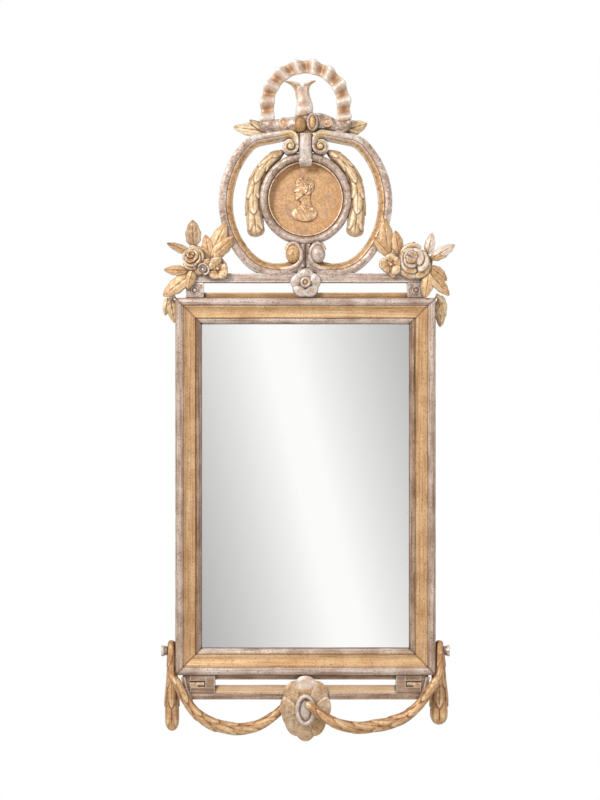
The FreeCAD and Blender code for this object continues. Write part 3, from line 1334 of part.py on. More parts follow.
def build_apron(nodes):
    """Rails, fret blocks, patera and garlands below the frame."""
    pins = nodes["dowels"]
    rail = apron_rail()
    block = fret_block()
    oval_patera = patera()
    eye_end_z = PATERA_Z + EYE_HEIGHT / 4
    tuck_radius = SWAG_RADIUS * SWAG_THICKNESS_SHARES[-1]
    left_end_z = APRON_FOOT - tuck_radius - FIT
    left_end_x = PATERA_WIDTH / 2 - tuck_radius - tuck_radius
    left_swag = swag_chain(-1, left_end_x, left_end_z, APRON_FRONT - tuck_radius, 1)
    right_swag = swag_chain(1, 0, eye_end_z, PATERA_FRONT + tuck_radius, SWAG_CROSSING_SHARE)
    beside = [frame_box(), rail, oval_patera]
    left_swag = left_swag.cut(beside + [nodes["peg_left"]])
    right_swag = right_swag.cut(beside + [nodes["peg_right"]])
    nodes["apron_base_rail"] = apron_base_rail().cut(oval_patera)
    nodes["apron_rail"] = rail.cut(pins)
    nodes["fret_block_left"] = block.cut(pins)
    nodes["fret_block_right"] = mirrored(block).cut(pins)
    nodes["patera"] = oval_patera.cut(pins)
    nodes["patera_eye"] = patera_eye().cut(right_swag)
    nodes["swag_left"] = left_swag
    nodes["swag_right"] = right_swag
    left_pendant = side_pendant(-1, DROP_LEFT_RADIUS, DROP_LEFT_LENGTH)
    right_pendant = side_pendant(1, DROP_RIGHT_RADIUS, DROP_RIGHT_LENGTH)
    nodes["pendant_left"] = left_pendant.cut([left_swag, rail, nodes["peg_left"]])
    nodes["pendant_right"] = right_pendant.cut([right_swag, rail, nodes["peg_right"]])


def main():
    """Build every piece and write it to a file of its own."""
    nodes = {}
    build_frame(nodes)
    build_crest(nodes)
    build_apron(nodes)
    os.makedirs("parts", exist_ok=True)
    for name, shape in nodes.items():
        shape.exportStep("parts/" + name + ".step")
        print(name, len(shape.Solids), shape.isValid(), round(shape.Volume))


main()
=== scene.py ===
from math import atan2, ceil, copysign, cos, exp, hypot, pi, radians, sin, sqrt, tau

import bmesh
import bpy
import numpy as np
from mathutils import Matrix, Vector, noise
from mathutils.bvhtree import BVHTree


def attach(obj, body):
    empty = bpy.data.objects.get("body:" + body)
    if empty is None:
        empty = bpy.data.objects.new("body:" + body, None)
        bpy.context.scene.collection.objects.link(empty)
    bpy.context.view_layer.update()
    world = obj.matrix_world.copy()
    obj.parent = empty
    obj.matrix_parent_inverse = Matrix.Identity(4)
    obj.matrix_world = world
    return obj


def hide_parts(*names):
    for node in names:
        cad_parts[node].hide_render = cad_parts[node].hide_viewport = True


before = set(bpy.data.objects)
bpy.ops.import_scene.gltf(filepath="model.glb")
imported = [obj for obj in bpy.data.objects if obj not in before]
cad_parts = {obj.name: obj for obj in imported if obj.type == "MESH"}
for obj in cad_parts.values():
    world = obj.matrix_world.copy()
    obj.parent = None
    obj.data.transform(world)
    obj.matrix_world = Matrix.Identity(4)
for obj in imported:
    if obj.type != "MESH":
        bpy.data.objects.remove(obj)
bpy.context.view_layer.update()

# Frame: two stiles and two rails of pine, planed to one moulding, mitred and glued. Over gesso and bole the
# outer border is silver leaf and the cove gold leaf, with a thin raised fillet between them. The sides are
# washed with ochre and the back is bare wood.
finished = []
# Half sizes of the frame and half the width of the dark line at its mitres, in millimetres.
HALF_WIDE, HALF_HIGH, MITRE_LINE = 221.6, 321.1, 0.7
# Points closer than this are one, and hand work strays by so much, in metres.
SAME, STRAY = 0.00002, 0.00022


def at(x, depth, z):
    """A place in millimetres, its depth counted forward from the wall, as a point in metres."""
    return Vector((x, -depth, z)) / 1000


def tint(code):
    """An sRGB hex colour as the linear colour that a shader takes."""
    shares = [int(code[place:place + 2], 16) / 255 for place in (1, 3, 5)]
    return [share / 12.92 if share <= 0.04045 else ((share + 0.055) / 1.055) ** 2.4 for share in shares] + [1]


def wire(tree, node, wires):
    """Inputs of a node, each set to a value or wired to an output."""
    for name, value in wires.items():
        if isinstance(value, bpy.types.NodeSocket):
            tree.links.new(value, node.inputs[name])
        else:
            node.inputs[name].default_value = value


def add(tree, kind, wires=None, **settings):
    """A node with its settings and its inputs."""
    made = tree.nodes.new("ShaderNode" + kind)
    for name, value in settings.items():
        setattr(made, name, value)
    wire(tree, made, wires or {})
    return made.outputs


def fresh(name):
    """A new material, its tree, its shader, and the place on a piece that its patterns follow."""
    made = bpy.data.materials.new(name)
    made.use_nodes = True
    tree = made.node_tree
    return made, tree, tree.nodes["Principled BSDF"], add(tree, "TexCoord")["Object"]


def leafed(name, tone, cloud, bole_and_shade, rubbed, metal, run=None, bare=0.6, shine=0.36):
    """Beaten metal leaf on red-brown bole and gesso, worn by two centuries of dusting: the leaf drifts in
    tone, the bole shows in chips and along the grain, and streaks are rubbed pale. Hollows are painted dark
    in bole colour as shade, ridges are painted pale as highlight over their rubbing, and brown painted shade
    lies where the wood round a point closes off its outlook."""
    made, tree, shader, place = fresh(name)
    sunk = add(tree, "Attribute", attribute_name="sunk")["Fac"]
    occlusion_shade = add(tree, "Attribute", attribute_name="occlusion_shade")["Fac"]
    drift = add(tree, "TexNoise", {"Vector": place, "Scale": 1000 / 34, "Detail": 4.0})[0]
    drift = add(tree, "MapRange", {"Value": drift, "From Min": 0.36, "From Max": 0.62})[0]
    colour = add(tree, "Mix", {0: drift, 6: tint(tone), 7: tint(cloud)}, data_type="RGBA")[2]
    # The grain's lines are about 2.5 mm apart and a hand long, the rubbed spots of carving 7 mm wide, and
    # the chips 2.5 mm.
    fine = {"X": (9, 400, 400), "Z": (400, 400, 9), None: (150, 150, 150)}[run]
    grain = add(tree, "Mapping", {"Vector": place, "Scale": fine})[0]
    streak = add(tree, "TexNoise", {"Vector": grain, "Scale": 1.0, "Detail": 6.0, "Roughness": 0.66})[0]
    chip = add(tree, "TexNoise", {"Vector": place, "Scale": 1000 / 2.5, "Detail": 3.0, "Roughness": 0.7})[0]
    # Each layer lies over the last: rubbed streaks, ridges painted pale as highlight over their rubbing, bole
    # in the grain and in chips, hollows painted dark in bole colour as shade, and brown painted shade over
    # all where wood closes round.
    for guide, low, high, most, code in (
            (streak, 0.47, 0.32, 0.6, rubbed), (sunk, 0.42, 0.12, 0.75, rubbed),
            (streak, 0.53, 0.70, bare, bole_and_shade), (chip, 0.54, 0.66, bare, bole_and_shade), (sunk, 0.57, 0.88, 0.95, bole_and_shade),
            (occlusion_shade, 0.18, 0.60, 0.8, "#4E3321")):
        share = add(tree, "MapRange", {"Value": guide, "From Min": low, "From Max": high, "To Max": most})[0]
        colour = add(tree, "Mix", {0: share, 6: colour, 7: tint(code)}, data_type="RGBA")[2]
    rough = add(tree, "MapRange", {
        "Value": streak, "From Min": 0.35, "From Max": 0.70, "To Min": shine, "To Max": shine + 0.25,
    })[0]
    worn = add(tree, "Math", {0: streak, 1: chip}, operation="ADD")[0]
    bump = add(tree, "Bump", {"Height": worn, "Strength": 0.45, "Distance": 0.0008})[0]
    wire(tree, shader, {"Base Color": colour, "Roughness": rough, "Normal": bump, "Metallic": metal})
    return made


def pine(name, run):
    """Sawn pine gone brown in the air: long growth lines, darker late wood and patches of dust, all dull."""
    made, tree, shader, place = fresh(name)
    # Growth lines about 6 mm apart that run on for a forearm's length.
    scale = {"X": (3, 160, 160), "Z": (160, 160, 3)}[run]
    grain = add(tree, "Mapping", {"Vector": place, "Scale": scale})[0]
    line = add(tree, "TexNoise", {"Vector": grain, "Scale": 1.0, "Detail": 4.0, "Distortion": 0.5})[0]
    late = add(tree, "MapRange", {"Value": line, "From Min": 0.40, "From Max": 0.66})[0]
    dust = add(tree, "TexNoise", {"Vector": place, "Scale": 1000 / 70, "Detail": 3.0})[0]
    dust = add(tree, "MapRange", {"Value": dust, "From Min": 0.45, "From Max": 0.70, "To Max": 0.45})[0]
    colour = add(tree, "Mix", {0: late, 6: tint("#B58957"), 7: tint("#83592F")}, data_type="RGBA")[2]
    colour = add(tree, "Mix", {0: dust, 6: colour, 7: tint("#6A5139")}, data_type="RGBA")[2]
    bump = add(tree, "Bump", {"Height": line, "Strength": 0.4, "Distance": 0.0006})[0]
    wire(tree, shader, {"Base Color": colour, "Normal": bump, "Roughness": 0.8})
    return made


def outline(corners, ease, step):
    """Closed section through corners, each eased a little, with points no further apart than a step."""
    eased = []
    for before, corner, after in zip(corners[-1:] + corners[:-1], corners, corners[1:] + corners[:1]):
        corner = Vector(corner)
        ends = []
        for other in (before, after):
            way = Vector(other) - corner
            ends.append(corner + way * min(ease / way.length, 0.45))
        eased += [ends[0], (ends[0] + ends[1]) / 4 + corner / 2, ends[1]]
    points = []
    for here, there in zip(eased, eased[1:] + eased[:1]):
        count = max(1, ceil((there - here).length / step))
        points += [here.lerp(there, share / count) for share in range(count)]
    return points


def skin(bm, along, around, place):
    """A grid of faces laid over a form, where place gives the point at shares along and round it."""
    for vert in bmesh.ops.create_grid(bm, x_segments=along, y_segments=around, size=1)["verts"]:
        vert.co = place((vert.co.x + 1) / 2, (vert.co.y + 1) / 2)


def sweep(bm, steps, section, spot):
    """A closed section carried along a form. Spot gives the place of a section's point at a share along."""
    count = len(section)
    skin(bm, steps, count, lambda u, v: spot(u, *section[round(v * count) % count]))


def neighbours(mesh):
    """Ends of each edge, then the same turned round, and one over the number of edges at each point."""
    ends = np.empty(len(mesh.edges) * 2, dtype=int)
    mesh.edges.foreach_get("vertices", ends)
    ends = ends.reshape(-1, 2)
    pairs = np.concatenate([ends, ends[:, ::-1]])
    return pairs, 1 / np.maximum(1, np.bincount(pairs[:, 0], minlength=len(mesh.vertices)))


def seat(bm, node, finishes, zone=None, sharp=50, deep=0.5, near=2.2, ground=0, mitre=False):
    """A finished piece in the place of its node: closed, faced outwards, worn a little uneven, its surfaces
    given their finishes, and each point told how deep it is sunk among the points near it, which the leaf
    finishes paint as shade in hollows and as highlight on ridges."""
    bmesh.ops.remove_doubles(bm, verts=bm.verts, dist=SAME)
    bmesh.ops.holes_fill(bm, edges=[edge for edge in bm.edges if edge.is_boundary], sides=0)
    bmesh.ops.recalc_face_normals(bm, faces=bm.faces)
    loose = set(bm.faces)
    while loose:
        shell, reached = [], [loose.pop()]
        while reached:
            shell.append(reached.pop())
            near_by = {face for edge in shell[-1].edges for face in edge.link_faces} & loose
            loose -= near_by
            reached += near_by
        if sum(face.calc_center_median().dot(face.normal) * face.calc_area() for face in shell) < 0:
            bmesh.ops.reverse_faces(bm, faces=shell)
    for vert in bm.verts:
        spot = vert.co * 45
        vert.co += Vector([noise.noise(spot + Vector.Fill(3, off)) for off in (0.3, 17.6, 41.9)]) * STRAY
    for face in bm.faces:
        face.smooth = True
        if zone:
            middle = face.calc_center_median() * 1000
            face.material_index = zone(middle.x, -middle.y, middle.z, face.normal)
    mesh = bpy.data.meshes.new(node + "_finished")
    bm.to_mesh(mesh)
    bm.free()
    mesh.set_sharp_from_angle(angle=radians(sharp))
    count = len(mesh.vertices)
    spots, normals = np.empty(count * 3), np.empty(count * 3)
    mesh.vertices.foreach_get("co", spots)
    mesh.vertices.foreach_get("normal", normals)
    spots, normals = spots.reshape(-1, 3), normals.reshape(-1, 3)
    pairs, share = neighbours(mesh)
    ends = pairs[:len(mesh.edges)]
    eased = spots
    spacing = np.linalg.norm(spots[ends[:, 0]] - spots[ends[:, 1]], axis=1).mean() * 1000
    for _ in range(min(40, max(2, round(2 * (near / spacing) ** 2)))):
        sums = [np.bincount(pairs[:, 0], eased[pairs[:, 1], axis], count) for axis in range(3)]
        eased = np.stack(sums, 1) * share[:, None]
    sunk = ((eased - spots) * normals).sum(1) * 1000
    sunk = (sunk - np.median(sunk)) / deep
    # Points of a relief near its ground count as sunk, so that the leaf paints shade round its foot.
    sunk[-spots[:, 1] * 1000 < ground] = 0.7
    if mitre:
        off = np.abs(spots) * 1000
        sunk[np.abs(HALF_WIDE - off[:, 0] - HALF_HIGH + off[:, 2]) < MITRE_LINE] = 0.65
    layer = mesh.attributes.new("sunk", "FLOAT", "POINT")
    layer.data.foreach_set("value", np.clip(0.5 + sunk / 2, 0, 1))
    for finish in finishes:
        mesh.materials.append(finish)
    piece = bpy.data.objects.new(node + "_finished", mesh)
    bpy.context.scene.collection.objects.link(piece)
    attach(piece, "mirror")
    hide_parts(node)
    finished.append(piece)


# Lit and shaded copies of one leaf: the rails running across are painted a lighter tone and the upright
# stiles a darker one, for the light that falls on them, not for any difference in the leaf.
gold_across_lit = leafed("gold_leaf_grain_across_painted_lit", "#E0BA8A", "#CDA170", "#80522E", "#F0DCBC", 0.25, "X", 0.75)
gold_upright_shaded = leafed("gold_leaf_grain_upright_painted_shaded", "#D2A97A", "#BC9061", "#74482A", "#E8D0AC", 0.25, "Z", 0.8)
silver_across_lit = leafed(
    "silver_leaf_grain_across_painted_lit", "#D2BEB0", "#AE9280", "#5C3D2C", "#F1E9E1", 0.30, "X", 0.85,
)
silver_upright_shaded = leafed(
    "silver_leaf_grain_upright_painted_shaded", "#C6AE9C", "#A1846F", "#563927", "#EEE4DB", 0.30, "Z", 0.85,
)
ochre_wash = leafed("ochre_wash_on_pine", "#A67C4C", "#8A6238", "#573A22", "#C6A478", 0.0, None, 0.4, 0.55)
pine_across = pine("old_pine_grain_across", "X")
pine_upright = pine("old_pine_grain_upright", "Z")

frame_section = [(0.3, 0.3), (0.3, 40.2)]
frame_section += [(0.8 + 12.4 * s / 8, 41.0 + 2.9 * sin(pi * s / 8) ** 0.8) for s in range(9)]
frame_section += [(13.7, 39.6), (14.0, 38.5), (14.6, 39.3), (15.9, 39.3), (16.5, 38.3), (16.8, 37.2)]
frame_section += [
    (17.2 + 14.4 * s / 9, 37.0 - 3.8 * s / 9 - 1.9 * sin(pi * s / 9)) for s in range(10)
]
frame_section += [(32.2, 33.2), (33.0, 33.8), (33.8, 33.3), (34.1, 32.3), (34.1, 26.2), (26.2, 26.2)]
frame_section += [(26.2, 8.2), (20.3, 8.2), (20.3, 0.3)]
frame_section = outline(frame_section, 0.35, 3.0)


def moulding(nodes, section, finishes, zone, steps, deep=0.5):
    """Four lengths of a section round the frame, from the top clockwise, cut at 45 degrees at their ends."""
    for side, node in enumerate(nodes):
        upright = side % 2
        half_long, half_across = (HALF_HIGH, HALF_WIDE) if upright else (HALF_WIDE, HALF_HIGH)

        def spot(u, inward, depth):
            return at((half_long - inward) * (u + u - 1), depth, half_across - inward)

        bm = bmesh.new()
        sweep(bm, steps[upright], section, spot)
        turn = Matrix.Rotation(radians((0, 90, 180, -90)[side]), 3, "Y")
        bmesh.ops.rotate(bm, verts=bm.verts, matrix=turn)
        seat(bm, node, finishes[upright], zone, deep=deep, mitre=True)


def frame_zone(x, depth, z, normal):
    inward = min(HALF_WIDE - abs(x), HALF_HIGH - abs(z))
    if normal.y > 0.6 or (inward > 19 and depth < 29):
        return 3
    if inward < 0.6:
        return 2
    return 0 if inward < 13.8 else 1


moulding(
    ("frame_rail_top", "frame_stile_right", "frame_rail_bottom", "frame_stile_left"), frame_section,
    ([silver_across_lit, gold_across_lit, ochre_wash, pine_across],
                  [silver_upright_shaded, gold_upright_shaded, ochre_wash, pine_upright]), frame_zone, (90, 130),
)

# Feathers, glue blocks, backboards, batten and dowels: the joiner's work that isn't seen from the front. It
# is plain pine from the saw, glued or nailed in, and keeps the shape of its solid.
for node in ("mitre_keys", "backboard_upper", "backboard_lower", "glue_blocks"):
    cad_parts[node].material_slots[0].material = pine_across
for node in ("crest_brace", "dowels"):
    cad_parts[node].material_slots[0].material = pine_upright

# Nails, screws, staples and hanging rings: blacksmith's iron, hammered from wire and rod, and rusted where
# it lies against the wall. The rings swing in their staples.
forged_iron, tree, shader, place = fresh("forged_iron")
# Rust in spots of about 3 mm turns the dark scale brown and takes its gloss.
rust = add(tree, "TexNoise", {"Vector": place, "Scale": 1000 / 3, "Detail": 4.0})[0]
rust = add(tree, "MapRange", {"Value": rust, "From Min": 0.42, "From Max": 0.62})[0]
colour = add(tree, "Mix", {0: rust, 6: tint("#57504A"), 7: tint("#6E4A33")}, data_type="RGBA")[2]
rough = add(tree, "MapRange", {"Value": rust, "To Min": 0.45, "To Max": 0.85})[0]
wire(tree, shader, {"Base Color": colour, "Roughness": rough, "Metallic": 0.8})
for node in ("backboard_nails", "brace_screws", "hanger_staples", "hanger_ring_left", "hanger_ring_right"):
    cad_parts[node].material_slots[0].material = forged_iron

# Sight slip: four mitred lengths of rounded pine under the lip of the frame, against the plate. Their silver
# leaf is toned brown, and the small step beside the plate is painted near black as the shadow that lies
# there.
# Lit and shaded copies again: the slips running across are painted much lighter, as a lit bead, and the
# upright slips darker, as shaded ones.
toned_across_lit = leafed("toned_silver_slip_across_painted_lit", "#D6C3B2", "#AE927A", "#5C3C27", "#F6EFE7", 0.28, "X", 0.8)
toned_upright_shaded = leafed(
    "toned_silver_slip_upright_painted_shaded", "#AC8D74", "#82624A", "#472B1A", "#E2D2BF", 0.25, "Z", 0.8,
)
slip_section = [(26.6, 20.1), (26.6, 25.9), (34.3, 25.9)]
slip_section += [
    (39.0 - 4.6 * cos(pi * s / 10), 30.0 + 3.4 * sin(pi * s / 10) - 5.6 * s / 10)
    for s in range(11)
]
slip_section += [(43.7, 22.4), (44.6, 22.2), (44.6, 20.1)]
slip_section = outline(slip_section, 0.3, 2.0)
# Painted shadow: a dark brown finish on the step beside the plate.
step_shadow = leafed("painted_shadow_on_slip_step", "#6E4C38", "#573926", "#3A2417", "#8E6B52", 0.1, None, 0.5)
moulding(
    ("sight_slip_top", "sight_slip_right", "sight_slip_bottom", "sight_slip_left"), slip_section,
    ([toned_across_lit, step_shadow], [toned_upright_shaded, step_shadow]),
    lambda x, depth, z, normal: int(depth < 24.4), (80, 120), 3.0,
)

# Mirror plate: a sheet of polished plate glass silvered on its back. It shows the room clearly, with a few
# faint grey spots where the silver has gone at the edges. It lies against the backs of the slips.
silvered_glass, tree, shader, place = fresh("silvered_plate_glass")
# Spots of 4 mm that keep to the outer edge of the plate.
spot = add(tree, "TexNoise", {"Vector": place, "Scale": 1000 / 4, "Detail": 2.0})[0]
spot = add(tree, "MapRange", {"Value": spot, "From Min": 0.66, "From Max": 0.74, "To Max": 0.5})[0]
parts = add(tree, "SeparateXYZ", {0: place})
rims = []
for axis, low, high in (("X", 0.165, 0.18), ("Z", 0.264, 0.28)):
    off = add(tree, "Math", {0: parts[axis]}, operation="ABSOLUTE")[0]
    rims.append(add(tree, "MapRange", {"Value": off, "From Min": low, "From Max": high})[0])
edge = add(tree, "Math", {0: rims[0], 1: rims[1]}, operation="MAXIMUM")[0]
spot = add(tree, "Math", {0: spot, 1: edge}, operation="MULTIPLY")[0]
colour = add(tree, "Mix", {0: spot, 6: tint("#FBFBFA"), 7: tint("#6F6A64")}, data_type="RGBA")[2]
wire(tree, shader, {"Base Color": colour, "Metallic": 1.0, "Roughness": 0.02})
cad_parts["mirror_plate"].material_slots[0].material = silvered_glass

# Rails and blocks of the crest: a low gilt rail on the frame, a block at each end with a small turned ring,
# and a silvered rail across them. They are planed pine, pinned with dowels.
brown_gold = leafed("gold_leaf_gone_brown", "#C69A69", "#A87E51", "#5E3C22", "#E0C298", 0.22, "X", 0.8)
carved_gold = leafed("gold_leaf_on_carving", "#DDB384", "#C29462", "#6E4426", "#F6E6CA", 0.28, None, 0.8)
carved_silver = leafed("silver_leaf_on_carving", "#C6AE9E", "#A28672", "#5C3D2A", "#F2EAE3", 0.32, None, 0.8)
# Depths of the back of the carving and of the face of the rails.
BACK, FRONT = 12.2, 38.0


def bar(bm, low, high, section, steps):
    """A straight length of a section of depths and heights, from one side to the other."""
    sweep(bm, steps, section, lambda u, depth, z: at(low + (high - low) * u, depth, z))


def plank(bm, low, high, back, front, foot, head, ease, steps, fine=2.0):
    """A bar with a squared section and eased edges."""
    corners = [(back, foot), (front, foot), (front, head), (back, head)]
    bar(bm, low, high, outline(corners, ease, fine), steps)


def lathe(bm, x, z, profile, steps=48, tall=1.0):
    """A turned form about a forward axis, from a profile of radii and depths, stretched upright if tall."""
    old = len(bm.verts)
    line = [bm.verts.new(at(x + profile[0][0], profile[0][1], z))]
    for here, there in zip(profile, profile[1:]):
        here, there = Vector(here), Vector(there)
        count = max(1, ceil((there - here).length / 2))
        for step in range(count):
            radius, depth = here.lerp(there, (step + 1) / count)
            line.append(bm.verts.new(at(x + radius, depth, z)))
    edges = [bm.edges.new(pair) for pair in zip(line, line[1:])]
    bmesh.ops.spin(
        bm, geom=line + edges, cent=at(x, 0, z), axis=(0, 1, 0), angle=tau, steps=steps, use_merge=True,
    )
    if tall != 1:
        bm.verts.ensure_lookup_table()
        bmesh.ops.scale(bm, verts=bm.verts[old:], vec=(1, 1, tall), space=Matrix.Translation(-at(x, 0, z)))


def back_zone(x, depth, z, normal):
    if normal.y > 0.6:
        return 2
    return 1 if normal.z < -0.7 else 0


# The crest base rail's browned gold is partly painted shade, darkening a rail that sits back between the
# frame and the crest rail.
bm = bmesh.new()
plank(bm, -173.4, 173.4, BACK, 30, 321.0, 330.4, 1.4, 140)
seat(bm, "crest_base_rail", [brown_gold, ochre_wash, pine_across], back_zone)
bm = bmesh.new()
plank(bm, -203.4, 203.4, BACK, FRONT, 347.0, 363, 1.8, 160)
seat(bm, "crest_rail", [silver_across_lit, ochre_wash, pine_across], back_zone)
for node, x in (("crest_block_left", -188.6), ("crest_block_right", 188.6)):
    bm = bmesh.new()
    plank(bm, x - 14.9, x + 14.9, BACK, FRONT, 321.2, 346.7, 1.2, 15)
    lathe(bm, x, 333.9, [
        (0, 36), (7.4, 36), (7.4, 38.6), (6.2, 39.6), (4.8, 38.7), (4.0, 37.4), (2.6, 38.4), (0, 38.9),
    ], 32)
    seat(bm, node, [carved_silver, ochre_wash, pine_across], back_zone)

# Scrolls of the crest: two C-scrolls sawn from boards and carved, with a silvered band outside, a gilt bevel
# inside and a volute rolled up at the top. At the foot both run into one stem between two small lobes.
bright_silver = leafed("silver_leaf_kept_bright", "#D9C9BD", "#BEA796", "#7A5A45", "#F8F3EE", 0.35)
cream_gold = leafed("gold_leaf_kept_light_on_curls", "#E3C8A0", "#CFAE82", "#7A5232", "#F6EAD4", 0.28)
# Width of the band, and centres of the arcs that make a scroll, of its volute and of the lobe at its foot.
BAND = 23.8
FOOT_X, FOOT_Z, MIDDLE_Z, SHOULDER_X, SHOULDER_Z = 48.8, 436.5, 483.7, 74, 555.2
CURL_X, CURL_Z, LOBE_X, LOBE_Z, LOBE_TALL = 25.6, 577.9, 21.5, 395.8, 1.28


def course(points, steps):
    """A smooth line through points, as evenly numbered places along it."""
    line = [Vector(point) for point in points]
    line = [line[0] * 2 - line[1]] + line + [line[-1] * 2 - line[-2]]
    spots = []
    for step in range(steps + 1):
        place = step / steps * (len(points) - 1)
        first = min(int(place), len(points) - 2)
        share = place - first
        a, b, c, d = line[first:first + 4]
        spots.append((
            b * 2 + (c - a) * share + (a * 2 - b * 5 + c * 4 - d) * share ** 2
            + (b * 3 - a - c * 3 + d) * share ** 3
        ) / 2)
    return spots


def rod(bm, spots, around, reach, side=(0, 1, 0), hold=None):
    """A carved rod along spots of x, depth and height. Reach gives its radius at a share, length and turn."""
    side = Vector(side)
    steps = len(spots) - 1
    lengths, sides, ways = [0], [], []
    for step, spot in enumerate(spots):
        way = (spots[min(step + 1, steps)] - spots[max(step - 1, 0)]).normalized()
        side = (side - way * side.dot(way)).normalized()
        sides.append(side)
        ways.append(way.cross(side))
        if step:
            lengths.append(lengths[-1] + (spot - spots[step - 1]).length)

    def place(u, v):
        step = round(u * steps)
        turn = tau * (v % 1)
        radius = reach(u, lengths[step], turn)
        spot = spots[step] + (sides[step] * cos(turn) + ways[step] * sin(turn)) * radius
        return at(*(hold(spot) if hold else spot))

    skin(bm, steps, around, place)


def tapering(thick, loss):
    """Reach of a round rod that gets thinner along its length."""
    return lambda share, length, turn: thick - loss * share


def arc_spot(x, z, radius, degrees):
    """A point of a band round a centre, with the way to the inside. Angles run from upright to the left."""
    sine, cosine = sin(radians(degrees)), cos(radians(degrees))
    return x - radius * sine, z + radius * cosine, sine, -cosine


def arc(x, z, radius, start, end, steps):
    return [arc_spot(x, z, radius, start + (end - start) * step / steps) for step in range(steps + 1)]


def scroll_stations():
    """The left scroll from its foot to its volute: outer point, way inside, band width and front depth."""
    stations = []
    for line in (arc(-FOOT_X, FOOT_Z, 80, 217, 134, 46), arc(0, MIDDLE_Z, 147.9, 134, 46, 92)):
        for step, spot in enumerate(line[:-1]):
            stations.append((spot, BAND - 3.0 * max(0, (step - 62) / 30), FRONT))
    for step, spot in enumerate(arc(-SHOULDER_X, SHOULDER_Z, 45, 46, 8, 14)):
        stations.append((spot, BAND - 3.0 - 2.6 * step / 14, FRONT))
    for step in range(1, 20):
        share = step / 20
        x, z = -80.3 + 49.4 * share, 599.8 + 6.9 * share
        stations.append(((x, z, 0.139, -0.990), BAND - 5.6 - 2.8 * share, FRONT + 2 * share))
    for step, spot in enumerate(arc(-28.5, 589.5, 17.4, 8, -90, 26)):
        share = step / 26
        stations.append((spot, BAND - 8.4 - 6.6 * share, FRONT + 2 + 4 * share))
    for step in range(1, 4):
        stations.append(((-11.1, 589.5 - 11.6 * step / 4, -1, 0), 8.6 - 0.5 * step, FRONT + 6.4))
    for step in range(91):
        share = step / 90
        spot = arc_spot(-CURL_X, CURL_Z, 14.5 - 10.6 * share ** 0.92, -90 - 470 * share)
        stations.append((spot, 7.0 - 3.6 * share, FRONT + 7 + 2 * share))
    return stations


# Shares of the band's width, and falls from its front as shares of the width, or none along its flat back.
band = [
    (0, 0.10), (0.02, 0.03), (0.08, -0.01), (0.17, -0.035), (0.28, -0.045), (0.39, -0.03), (0.48, 0.0),
    (0.53, 0.05), (0.56, 0.09), (0.60, 0.085), (0.68, 0.14), (0.78, 0.22), (0.88, 0.31), (0.97, 0.40),
    (1.0, 0.44), (1.0, None), (0.5, None), (0.0, None),
]
stem = outline([(BACK, 0), (36, 0), (40, 5.5), (36, 10.8), (BACK, 10.8)], 1.6, 2.2)
stations = scroll_stations()
for node, side in (("crest_scroll_left", 1), ("crest_scroll_right", -1)):

    def band_spot(u, share, fall):
        (x, z, in_x, in_z), width, front = stations[round(u * (len(stations) - 1))]
        depth = BACK if fall is None else front - fall * width
        return at(side * (x + in_x * share * width), depth, z + in_z * share * width)

    bm = bmesh.new()
    sweep(bm, len(stations) - 1, band, band_spot)
    lathe(bm, -side * CURL_X, CURL_Z, [
        (0, BACK), (13.6, BACK), (13.8, 37), (12.5, 38.4), (4.9, 39), (4.8, 46), (3.8, 48), (2, 49),
        (0, 49.2),
    ])
    lathe(bm, -side * LOBE_X, LOBE_Z, [
        (0, BACK), (11.6, BACK), (12.4, 36), (12.0, 41), (10.4, 44.8), (7.6, 47.4), (4, 48.8), (0, 49.2),
    ], tall=LOBE_TALL)
    turns = course([
        (-side * x, depth, z) for x, depth, z in (
            (58, 25, 370), (40, 32, 370), (22, 37, 373), (9.5, 39, 384), (8.5, 40, 400), (17, 41, 412.5),
            (28, 42, 411), (33, 43, 401))
    ], 70)
    rod(bm, turns, 16, tapering(5.4, 2.6), hold=lambda p: Vector((p.x, max(p.y, 14), p.z)))

    def stem_spot(u, depth, x):
        return at(-side * x * (1 + 0.9 * (1 - u) ** 2.5), depth - 1.5 * sin(pi * u), 365 + 47.5 * u)

    sweep(bm, 24, stem, stem_spot)

    def scroll_zone(x, depth, z, normal):
        off = abs(x)
        lobe = hypot(off - LOBE_X, (z - LOBE_Z) / LOBE_TALL)
        if normal.y > 0.6:
            return 2
        if depth > 30 and lobe < 12.8:
            return 1 if x < 0 else 3
        if off > 106:
            return 0 if hypot(x, z - MIDDLE_Z) > 134.6 else 1
        if z < 410 and off > 12 and hypot(off - FOOT_X, z - FOOT_Z) < 66.8 and lobe > 13:
            return 1
        if z > 550 and off > SHOULDER_X and hypot(off - SHOULDER_X, z - SHOULDER_Z) < 31.6:
            return 1
        if z > 560 and 44 < off <= 80 and z < 599.8 + (80.3 - off) * 0.1405 - 13.2:
            return 1
        curl = hypot(off - CURL_X, z - CURL_Z)
        stray = 14 * noise.noise((x * 0.12, z * 0.12, 1))
        if z > 550 and off < 40 + stray and (curl < 10.5 or (z > 589 and depth > 36)):
            return 4
        return 3 if z > 570 and off < 92 + stray else 0

    seat(bm, node, [carved_silver, carved_gold, pine_upright, bright_silver, cream_gold],
         scroll_zone)

# Medallion: a ring turned on the lathe, silvered, with a gilt bead inside it, and a thin round panel let into
# a rebate behind. The panel's gilding was rubbed through to ochre and stained mauve by damp.
MEDALLION = 490
bm = bmesh.new()
lathe(bm, 0, MEDALLION, [
    (69.4, BACK), (78.3, BACK), (78.5, 24), (78.5, 34), (77.9, 36.6), (76.2, 38.8), (73.6, 40.0),
    (70.6, 40.1), (67.8, 38.9), (65.9, 36.9), (65.1, 35.0), (65.0, 32.9), (64.2, 33.3), (63.3, 34.2),
    (62.2, 34.0), (61.3, 32.6), (60.8, 30), (60.8, 24), (60.8, 20.1), (69.4, 20.1), (69.4, BACK),
], 144)


